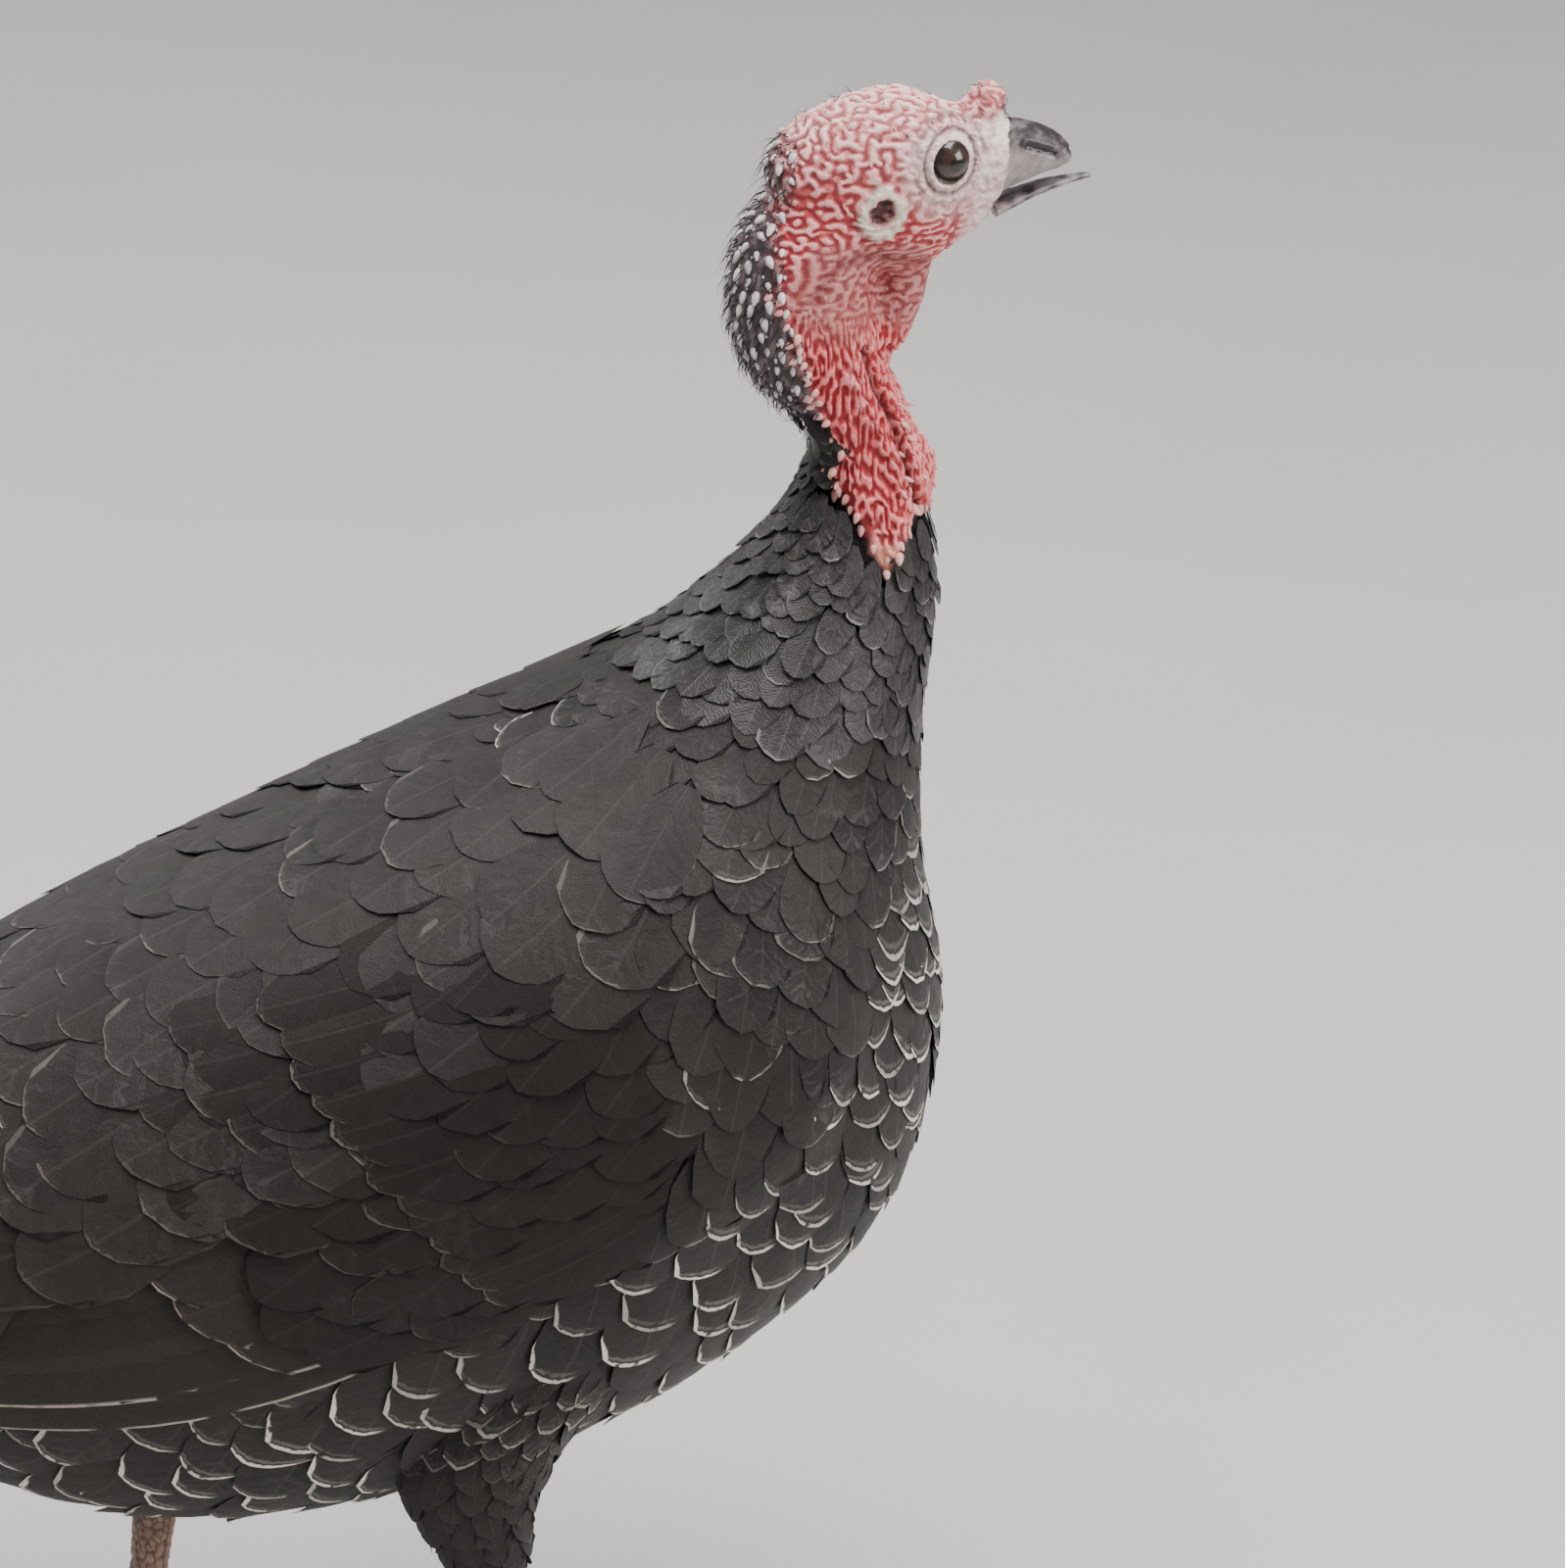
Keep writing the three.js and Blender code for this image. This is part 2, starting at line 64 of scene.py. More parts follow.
Pair = tuple[float, float]
Colour = tuple[float, float, float]

EYE_STATION = (170.3, 642.6)  # the middle of both eyes, seen from the side, in the bird's millimetres


def _origin() -> Vector:
    """Where the bird's own zero lies in the frame, from the box of an eye."""
    low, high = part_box("eye_right")
    middle = (low + high) / 2
    return Vector((middle.x - EYE_STATION[0] * MM, 0.0, middle.z - EYE_STATION[1] * MM))


ORIGIN = _origin()


def to_frame(points: Array) -> Array:
    """Turns points in the bird's millimetres into metres in the frame.

    Args:
        points: rows of x forward, y to the left and z up.
    Returns:
        The same rows in metres.
    """
    return np.asarray(points, float) * MM + np.array(ORIGIN)


def to_bird(points: Array) -> Array:
    """Turns metres in the frame into the bird's millimetres."""
    return (np.asarray(points, float) - np.array(ORIGIN)) / MM


# ---------------------------------------------------------------- numbers


def ease(value: Array, low: float, high: float) -> Array:
    """A smooth step from 0 at low to 1 at high."""
    t = np.clip((value - low) / (high - low), 0.0, 1.0)
    return t * t * (3.0 - 2.0 * t)


def bump(value: Array, middle: float, half: float) -> Array:
    """A smooth hump of height 1 at middle, down to 0 at half away from it."""
    return 1.0 - ease(np.abs(value - middle), 0.0, half)


def read(value: Array, table: Sequence[Pair]) -> Array:
    """Reads values off pairs of a value and its result, with straight lengths between them."""
    rows = np.asarray(table, float)
    return np.interp(value, rows[:, 0], rows[:, 1])


def lattice(ix: Array, iy: Array, iz: Array, seed: int) -> Array:
    """A steady pseudo-random number from 0 to 1 for every point of a whole-number lattice."""
    mask = np.int64(0xFFFFFFFF)
    mixed = (ix * 374761393 + iy * 668265263 + iz * 1440662683 + seed * 974634777) & mask
    mixed = ((mixed ^ (mixed >> 13)) * 1274126177) & mask
    mixed = ((mixed ^ (mixed >> 15)) * 2246822519) & mask
    return ((mixed ^ (mixed >> 16)) & 0xFFFFFF) / float(0x1000000)


def wander(points: Array, size: float, seed: int) -> Array:
    """Smooth noise from about -1 to 1 whose lumps are about size across."""
    scaled = points / size
    base = np.floor(scaled).astype(np.int64)
    part = scaled - base
    fade = part**3 * (part * (part * 6.0 - 15.0) + 10.0)
    total = np.zeros(len(points))
    for corner in np.ndindex(2, 2, 2):
        x, y, z = (base[:, k] + corner[k] for k in range(3))
        pull = sum((part[:, k] - corner[k]) * (2.0 * lattice(x, y, z, seed + 331 * k) - 1.0) for k in range(3))
        total += pull * np.prod(np.abs(1 - np.array(corner) - fade), axis=1)
    return np.clip(2.1 * total, -1.0, 1.0)


def cells(points: Array, size: float, seed: int) -> tuple[Array, Array, Array]:
    """Scattered cells about size across.

    Args:
        points: rows of coordinates.
        size: the distance between neighbouring cells.
        seed: which scatter.
    Returns:
        The distance to the nearest cell's middle and to the next one's, in cells, and the cell's number.
    """
    scaled = points / size
    base = np.floor(scaled).astype(np.int64)
    first = np.full(len(points), 9.0)
    second = np.full(len(points), 9.0)
    number = np.zeros(len(points))
    for dx, dy, dz in AROUND:
        x, y, z = base[:, 0] + dx, base[:, 1] + dy, base[:, 2] + dz
        middle = np.stack([c + 0.12 + 0.76 * lattice(x, y, z, seed + k) for k, c in enumerate((x, y, z))], 1)
        far = np.linalg.norm(scaled - middle, axis=1)
        closer = far < first
        second = np.where(closer, first, np.minimum(second, far))
        number = np.where(closer, lattice(x, y, z, seed + 7), number)
        first = np.where(closer, far, first)
    return first, second, number


def spaced(points: Array, gaps: Array, order: Sequence[int]) -> list[int]:
    """Picks points in an order, each at least its own gap away from those picked before it."""
    cell = float(gaps.max())
    keys, rows, limits = np.floor(points / cell).astype(int).tolist(), points.tolist(), (gaps**2).tolist()
    taken: dict[tuple[int, int, int], list[list[float]]] = {}
    chosen: list[int] = []
    for i in order:
        (kx, ky, kz), (x, y, z), limit = keys[i], rows[i], limits[i]
        near = (other for dx, dy, dz in AROUND for other in taken.get((kx + dx, ky + dy, kz + dz), ()))
        if all((x - a) ** 2 + (y - b) ** 2 + (z - c) ** 2 >= limit for a, b, c in near):
            taken.setdefault((kx, ky, kz), []).append(rows[i])
            chosen.append(i)
    return chosen


def beside(points: Array, line: Sequence[Pair]) -> Array:
    """The distance of each (x, z) point from a line of straight lengths."""
    corners = np.asarray(line, float)
    nearest = np.full(len(points), 1e9)
    for start, end in zip(corners[:-1], corners[1:]):
        way = end - start
        share = np.clip(((points - start) @ way) / (way @ way), 0.0, 1.0)
        nearest = np.minimum(nearest, np.linalg.norm(points - start - share[:, None] * way, axis=1))
    return nearest


def stroke(points: Array, line: Sequence[Pair], half: float) -> Array:
    """1 on a line, smoothly down to 0 at half away from it."""
    return bump(beside(points, line), 0.0, half)


def inside(points: Array, outline: Sequence[Pair]) -> Array:
    """Which (x, z) points lie within a closed outline."""
    corners = np.asarray(outline, float)
    within = np.zeros(len(points), bool)
    for (x0, z0), (x1, z1) in zip(corners, np.roll(corners, -1, 0)):
        crosses = (z0 > points[:, 1]) != (z1 > points[:, 1])
        reach = x0 + (points[:, 1] - z0) / (z1 - z0 + 1e-12) * (x1 - x0)
        within ^= crosses & (points[:, 0] < reach)
    return within


class Line:
    """A smooth line through named points, with even flow past each of them."""

    def __init__(self, points: Sequence[Sequence[float]]) -> None:
        """Keeps the points, with one more beyond each end."""
        rows = np.asarray(points, float)
        if rows.ndim == 1:
            rows = rows[:, None]
        self.last = len(rows) - 1
        self.rows = np.vstack([2 * rows[0] - rows[1], rows, 2 * rows[-1] - rows[-2]])

    def at(self, share: Array) -> Array:
        """The points of the line at shares of its length from 0 to 1."""
        place = np.clip(np.asarray(share, float), 0.0, 1.0) * self.last
        start = np.minimum(place.astype(int), self.last - 1)
        t = (place - start)[:, None]
        p0, p1, p2, p3 = (self.rows[start + k] for k in range(4))
        steps = [np.sum((b - a) ** 2, axis=1, keepdims=True) ** 0.25 for a, b in ((p0, p1), (p1, p2), (p2, p3))]
        middle = np.where(steps[1] < 1e-4, 1.0, steps[1])
        before = np.where(steps[0] < 1e-4, middle, steps[0])
        after = np.where(steps[2] < 1e-4, middle, steps[2])
        t1 = ((p1 - p0) / before - (p2 - p0) / (before + middle) + (p2 - p1) / middle) * middle
        t2 = ((p2 - p1) / middle - (p3 - p1) / (middle + after) + (p3 - p2) / after) * middle
        c2 = -3 * p1 + 3 * p2 - 2 * t1 - t2
        c3 = 2 * p1 - 2 * p2 + t1 + t2
        return p1 + t * (t1 + t * (c2 + t * c3))


# ---------------------------------------------------------------- forms

Place = Callable[[Array, Array], Array]


@dataclass(frozen=True)
class Ring:
    """One cross section: its point on the back, its point on the front and its half width, in mm."""

    back: Pair
    front: Pair
    half: float


@dataclass(frozen=True)
class Loft:
    """A smooth closed form through rings."""

    rings: tuple[Ring, ...]
    fullness: float = 0.92
    shouldered: float = 0.06

    def place(self, u: Array, turn: Array, grow: float = 0.0) -> Array:
        """Points of the form.

        Args:
            u: shares of its length, 0 at the first ring.
            turn: angles round it, 0 on the back, pi on the front, positive to the left.
            grow: how far outwards the points move.
        Returns:
            Rows of x, y, z in the bird's millimetres.
        """
        back = Line([r.back for r in self.rings]).at(u)
        front = Line([r.front for r in self.rings]).at(u)
        half = Line([r.half for r in self.rings]).at(u)[:, 0]
        radius = (back - front) / 2
        depth = np.linalg.norm(radius, axis=1)
        up, side = np.cos(turn), np.sin(turn)
        rise = np.sign(up) * np.abs(up) ** self.fullness
        across = np.sign(side) * np.abs(side) ** self.fullness * (1 + self.shouldered * rise)
        middle = (back + front) / 2 + radius / depth[:, None] * ((depth + grow) * rise)[:, None]
        return np.stack([middle[:, 0], (half + grow) * across, middle[:, 1]], axis=1)


def loft(*rings: tuple[Pair, Pair, float]) -> Loft:
    """A form through rings, each given as its points on the back and front and its half width."""
    return Loft(tuple(Ring(*ring) for ring in rings))


BODY = loft(
    ((121, 638), (150, 616), 16.5),
    ((106, 620), (148, 600), 19),
    ((101.5, 592), (150, 578), 20),
    ((110, 566), (158, 560), 19),
    ((127.5, 543), (165, 541), 18),
    ((122.5, 526), (170, 514), 22),
    ((102.5, 501), (170.5, 483), 33),
    ((75, 476), (166, 447), 50),
    ((41, 456), (165, 404), 71),
    ((2, 441), (173, 335), 90),
    ((-42, 425), (154, 263), 99),
    ((-86, 407), (97, 210), 101),
    ((-127, 387), (22, 178), 97),
    ((-166, 363), (-58, 162), 85),
    ((-201, 337), (-128, 169), 66),
    ((-228, 316), (-186, 200), 44),
    ((-246, 300), (-224, 238), 25),
)
LAST = len(BODY.rings) - 1
WING = loft(
    *((ring.back, ring.front, half) for ring, half in zip(BODY.rings[7:12], (56, 78, 98, 107, 109))),
    ((-127, 390), (22, 178), 107),
    ((-166, 369), (-58, 164), 100),
    ((-201, 346), (-128, 174), 88),
    ((-230, 327), (-186, 202), 76),
    ((-252, 312), (-224, 224), 67),
    ((-276, 295), (-264, 230), 59),
    ((-306, 274), (-300, 220), 50),
    ((-336, 253), (-334, 208), 42),
)
HEAD = loft(
    ((113, 641), (128, 616), 12.5),
    ((121, 652), (141, 607), 16.5),
    ((135, 660), (154, 603.5), 18.2),
    ((151, 664), (166.5, 605), 17.4),
    ((167, 660), (177, 612), 15.2),
    ((181, 654.5), (184.5, 617.5), 12),
    ((190, 652), (188, 622), 9.4),
    ((195.5, 649.5), (190.5, 625.5), 7.6),
)
UPPER_BILL = loft(
    ((190, 651), (185, 624), 8.6),
    ((197, 650), (192, 627), 7.4),
    ((203, 648), (198, 629.8), 6.2),
    ((208.5, 645), (204, 631.8), 4.9),
    ((212.5, 641), (209, 633), 3.6),
    ((214.4, 637.6), (212.4, 634.2), 2),
)
LOWER_BILL = loft(
    ((188, 623), (188.5, 619), 7.2),
    ((193, 625), (193.5, 621.2), 6.4),
    ((201, 627.8), (201.3, 624.2), 5),
    ((211, 629.8), (211.4, 627.2), 3.2),
    ((220.5, 630.4), (220.8, 629.2), 1.2),
)


@dataclass(frozen=True)
class Lump:
    """A ball pressed to its half sizes and pitched nose up, in mm and degrees."""

    x: float
    z: float
    y: float
    along: float
    across: float
    tall: float
    pitch: float = 0.0

    def place(self, u: Array, turn: Array) -> Array:
        """Points of the ball, u running from its top to its foot."""
        polar = np.pi * u
        ring = np.sin(polar)
        x, y, z = self.along * ring * np.cos(turn), self.across * ring * np.sin(turn), self.tall * np.cos(polar)
        lean = math.radians(self.pitch)
        forward = x * math.cos(lean) - z * math.sin(lean)
        rise = x * math.sin(lean) + z * math.cos(lean)
        return np.stack([self.x + forward, self.y + y, self.z + rise], axis=1)


class Hide:
    """A surface that feathers lie on, kept as a table over its length and its turn."""

    def __init__(self, place: Place, turns: Pair = (0.0, 2 * math.pi), size: tuple[int, int] = (260, 200)) -> None:
        """Tabulates a form.

        Args:
            place: gives points for shares of length and turns.
            turns: the first and last turn; a full circle wraps round.
            size: how many rows and columns the table has.
        """
        self.turns, self.size = turns, size
        u, turn = np.meshgrid(np.linspace(0, 1, size[0]), np.linspace(*turns, size[1]), indexing="ij")
        self.points = place(u.ravel(), turn.ravel()).reshape(*size, 3)
        self.along = np.gradient(self.points, 1 / (size[0] - 1), axis=0)
        self.round = np.gradient(self.points, (turns[1] - turns[0]) / (size[1] - 1), axis=1)
        self.wraps = abs(turns[1] - turns[0] - 2 * math.pi) < 1e-6
        if self.wraps:
            ends = (self.points[:, 1] - self.points[:, -2]) / (2 * (turns[1] - turns[0]) / (size[1] - 1))
            self.round[:, 0] = self.round[:, -1] = ends
        normal = np.cross(self.along, self.round)
        normal /= np.linalg.norm(normal, axis=2, keepdims=True) + 1e-12
        outwards = self.points - self.points.mean(axis=1, keepdims=True)
        wrong = (normal * outwards).sum() < 0 if self.wraps else normal[..., 2].sum() < 0
        normal = -normal if wrong else normal
        self.normal = normal
        self.scale = np.stack([np.linalg.norm(self.along, axis=2), np.linalg.norm(self.round, axis=2)], 2)

    def _look(self, table: Array, u: Array, turn: Array) -> Array:
        """Reads a table smoothly at places."""
        rows, columns = self.size
        r = np.clip(u, 0, 1) * (rows - 1)
        share = (turn - self.turns[0]) / (self.turns[1] - self.turns[0])
        share = share % 1.0 if self.wraps else np.clip(share, 0, 1)
        c = share * (columns - 1)
        r0 = np.minimum(r.astype(int), rows - 2)
        c0 = np.minimum(c.astype(int), columns - 2)
        fr, fc = (r - r0)[..., None], (c - c0)[..., None]
        top = table[r0, c0] * (1 - fc) + table[r0, c0 + 1] * fc
        low = table[r0 + 1, c0] * (1 - fc) + table[r0 + 1, c0 + 1] * fc
        return top * (1 - fr) + low * fr

    def sample(self, u: Array, turn: Array) -> tuple[Array, Array]:
        """Points and outward normals; beyond the ends the surface runs straight on."""
        beyond = u - np.clip(u, 0, 1)
        normal = self._look(self.normal, u, turn)
        normal /= np.linalg.norm(normal, axis=-1, keepdims=True) + 1e-12
        return self._look(self.points, u, turn) + beyond[..., None] * self._look(self.along, u, turn), normal

    def points_at(self, spots: Array) -> Array:
        """The points at rows of length and turn."""
        return self.sample(spots[:, 0], spots[:, 1])[0]

    def spread(self, u: Array, turn: Array) -> Array:
        """How many mm one unit of length and of turn cover at places."""
        return np.maximum(self._look(self.scale, u, turn), 1e-3)

    def find(self, spots: Array, side: int) -> Array:
        """The (u, turn) places that show at (x, z) spots when looked at from one side."""
        half = self.points[..., 1] * side > 0
        u, turn = np.meshgrid(np.linspace(0, 1, self.size[0]), np.linspace(*self.turns, self.size[1]), indexing="ij")
        known = self.points[half][:, [0, 2]]
        places = np.stack([u[half], turn[half]], 1)
        spots = np.atleast_2d(np.asarray(spots, float))
        nearest = [int(np.argmin(((known - spot) ** 2).sum(1))) for spot in spots]
        return places[nearest]


# ---------------------------------------------------------------- meshes


class Slot(Enum):
    """The finishes that the record names."""

    PLUMAGE = "plumage"
    FLIGHT = "flight_feathers"
    RED = "red_skin"
    PALE = "pale_skin"
    BILL = "bill_horn"
    EYE = "eye"
    SCALES = "scaled_skin"
    CLAW = "claw_horn"


def rolled(place: Place, rings: int, sides: int) -> BMesh:
    """A closed tube: a grid rolled up, welded along its seam and closed at both ends.

    Args:
        place: gives points in the bird's millimetres for shares of length and turns.
        rings: how many lengths the tube has.
        sides: how many faces go round it.
    Returns:
        The tube, in metres in the frame.
    """
    tube = bmesh.new()
    bmesh.ops.create_grid(tube, x_segments=rings, y_segments=sides, size=0.5)
    flat = np.array([v.co[:2] for v in tube.verts]) + 0.5
    for vertex, point in zip(tube.verts, to_frame(place(flat[:, 0], flat[:, 1] * 2 * np.pi))):
        vertex.co = point
    bmesh.ops.remove_doubles(tube, verts=tube.verts, dist=1e-6)
    bmesh.ops.dissolve_degenerate(tube, edges=tube.edges, dist=1e-6)
    bmesh.ops.holes_fill(tube, edges=[e for e in tube.edges if e.is_boundary], sides=0)
    bmesh.ops.recalc_face_normals(tube, faces=tube.faces)
    return tube


def mesh_of(name: str, shapes: Sequence[BMesh]) -> Mesh:
    """Several shapes together as one mesh; the shapes are used up."""
    mesh = bpy.data.meshes.new(name)
    whole = bmesh.new()
    for shape in shapes:
        shape.to_mesh(mesh)
        whole.from_mesh(mesh)
        shape.free()
    whole.to_mesh(mesh)
    whole.free()
    return mesh


def added(name: str, mesh: Mesh) -> Object:
    """A new object of a mesh, in the scene."""
    made = bpy.data.objects.new(name, mesh)
    bpy.context.scene.collection.objects.link(made)
    return made


def shaped_piece(name: str, shapes: Sequence[BMesh]) -> Object:
    """A new object of several shapes, which are used up."""
    return added(name, mesh_of(name, shapes))


def settled(piece: Object) -> None:
    """Puts the result of a piece's modifiers into its mesh."""
    graph = bpy.context.evaluated_depsgraph_get()
    mesh = bpy.data.meshes.new_from_object(piece.evaluated_get(graph))
    old = piece.data
    piece.modifiers.clear()
    piece.data = mesh
    mesh.name = old.name + "_shape"
    bpy.data.meshes.remove(old)


def united(name: str, shapes: Sequence[BMesh], voxel: float) -> Object:
    """Overlapping shapes grown into one closed surface, with voxels of a size in mm."""
    piece = shaped_piece(name, shapes)
    remesh = piece.modifiers.new("unite", "REMESH")
    remesh.mode = "VOXEL"
    remesh.voxel_size = voxel * MM
    settled(piece)
    return piece


def corners_of(mesh: Mesh) -> tuple[Array, Array]:
    """A mesh's points in the bird's millimetres, and its normals."""
    points = np.empty(len(mesh.vertices) * 3)
    mesh.vertices.foreach_get("co", points)
    normals = np.empty(len(mesh.vertices) * 3)
    mesh.vertex_normals.foreach_get("vector", normals)
    return to_bird(points.reshape(-1, 3)), normals.reshape(-1, 3)


def move_corners(mesh: Mesh, points: Array) -> None:
    """Gives a mesh's points new places, in the bird's millimetres."""
    mesh.vertices.foreach_set("co", to_frame(points).ravel())
    mesh.update()


def edges_of(mesh: Mesh) -> Array:
    """The two points of each edge of a mesh."""
    edges = np.empty(len(mesh.edges) * 2, np.int32)
    mesh.edges.foreach_get("vertices", edges)
    return edges.reshape(-1, 2)


def relaxed(mesh: Mesh, times: int, factor: float = 0.5, where: Array | None = None) -> None:
    """Evens out a mesh by drawing each point towards its neighbours.

    Args:
        mesh: the mesh, changed in place.
        times: how often.
        factor: how far each time.
        where: how much each point takes part, or None for all alike.
    """
    edges = edges_of(mesh)
    points, _ = corners_of(mesh)
    count = np.bincount(edges.ravel(), minlength=len(points))[:, None]
    share = factor if where is None else (factor * where)[:, None]
    for _ in range(times):
        total = np.stack(
            [
                np.bincount(edges[:, 0], points[edges[:, 1], k], len(points))
                + np.bincount(edges[:, 1], points[edges[:, 0], k], len(points))
                for k in range(3)
            ],
            1,
        )
        points = points + share * (total / np.maximum(count, 1) - points)
    move_corners(mesh, points)


def labyrinth(mesh: Mesh, way: Array, stretch: float, narrow: int, broad: int, seed: int) -> Array:
    """A winding pattern of ridges over a mesh, from 0 in the furrows to 1 on the crests.

    Args:
        mesh: a finely divided mesh.
        way: for each point, the way in which the ridges are drawn out.
        stretch: how strongly they are drawn out.
        narrow: how often the pattern is evened for its ridges; more makes them wider.
        broad: how often it is evened again for the furrows between them.
        seed: which pattern.
    Returns:
        One number for each point.
    """
    edges = edges_of(mesh)
    start, end = edges[:, 0], edges[:, 1]
    points, _ = corners_of(mesh)
    number = len(points)
    step = points[end] - points[start]
    step /= np.linalg.norm(step, axis=1, keepdims=True) + 1e-9
    weight = 1.0 + stretch * np.einsum("ij,ij->i", step, (way[start] + way[end]) / 2) ** 2
    total = np.bincount(start, weight, number) + np.bincount(end, weight, number) + 1e-9

    def even(values: Array, times: int) -> Array:
        """Draws each value towards its neighbours'."""
        for _ in range(times):
            near = np.bincount(start, weight * values[end], number) + np.bincount(end, weight * values[start], number)
            values = 0.5 * (values + near / total)
        return values

    pattern = 2.0 * lattice(*np.round(points * 3.0).astype(np.int64).T, seed) - 1.0
    for _ in range(8):
        ridges = even(pattern, narrow)
        pattern = ridges - even(ridges, broad)
        pattern = np.tanh(2.2 * pattern / pattern.std())
    return 0.5 + 0.5 * even(pattern, 1)


def divided(mesh: Mesh, wanted: Array) -> None:
    """Divides in two the edges whose ends are both wanted, and the faces between them."""
    work = bmesh.new()
    work.from_mesh(mesh)
    chosen = [e for e in work.edges if wanted[e.verts[0].index] and wanted[e.verts[1].index]]
    bmesh.ops.subdivide_edges(work, edges=chosen, cuts=1, use_grid_fill=True)
    bmesh.ops.triangulate(work, faces=[f for f in work.faces if len(f.verts) > 4])
    work.to_mesh(mesh)
    work.free()


def numbered(mesh: Mesh, name: str, values: Array) -> None:
    """Stores one number for each point of a mesh."""
    store = mesh.attributes.new(name, "FLOAT", "POINT")
    store.data.foreach_set("value", np.ascontiguousarray(values, np.float32))


def smooth_shaded(mesh: Mesh) -> None:
    """Shades every face of a mesh smoothly."""
    mesh.polygons.foreach_set("use_smooth", np.ones(len(mesh.polygons), bool))
    mesh.update()


def array_mesh(
    name: str,
    points: Array,
    faces: Array,
    maps: dict[str, Array],
    marks: dict[str, Array],
    border: Array | None = None,
) -> Mesh:
    """One mesh of many like shapes.

    Args:
        name: the mesh's name.
        points: one row of places, in the bird's millimetres, for each corner.
        faces: the corners of each face, as many for one as for the next.
        maps: a flat place for each corner, by the name of its map.
        marks: a number for each corner, by name.
        border: which corners lie on a thin rim that is shaded as a crease.
    Returns:
        The mesh.
    """
    mesh = bpy.data.meshes.new(name)
    mesh.vertices.add(len(points))
    mesh.vertices.foreach_set("co", to_frame(points).ravel())
    loops = faces.ravel()
    mesh.loops.add(len(loops))
    mesh.loops.foreach_set("vertex_index", loops.astype(np.int32))
    mesh.polygons.add(len(faces))
    mesh.polygons.foreach_set("loop_start", np.arange(0, len(loops), faces.shape[1], dtype=np.int32))
    mesh.update(calc_edges=True)
    for title, flat in maps.items():
        layer = mesh.uv_layers.new(name=title)
        layer.data.foreach_set("uv", np.ascontiguousarray(flat[loops], np.float32).ravel())
    for title, values in marks.items():
        numbered(mesh, title, values)
    smooth_shaded(mesh)
    if border is not None:
        crease = mesh.attributes.new("sharp_edge", "BOOLEAN", "EDGE")
        crease.data.foreach_set("value", border[edges_of(mesh)].all(axis=1))
    return mesh


def finished(piece: Object, material: Material, slot: Slot, stands_for: Sequence[str] = ()) -> Object:
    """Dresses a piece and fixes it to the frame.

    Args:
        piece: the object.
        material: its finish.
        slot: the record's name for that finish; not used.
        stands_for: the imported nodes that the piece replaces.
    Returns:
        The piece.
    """
    piece.data.materials.clear()
    piece.data.materials.append(material)
    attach(piece, "root")
    if stands_for:
        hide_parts(*stands_for)
    piece.data.calc_loop_triangles()
    LOG.info("%s: %d triangles", piece.name, len(piece.data.loop_triangles))
    return piece


# ---------------------------------------------------------------- shading

Value = Socket | float


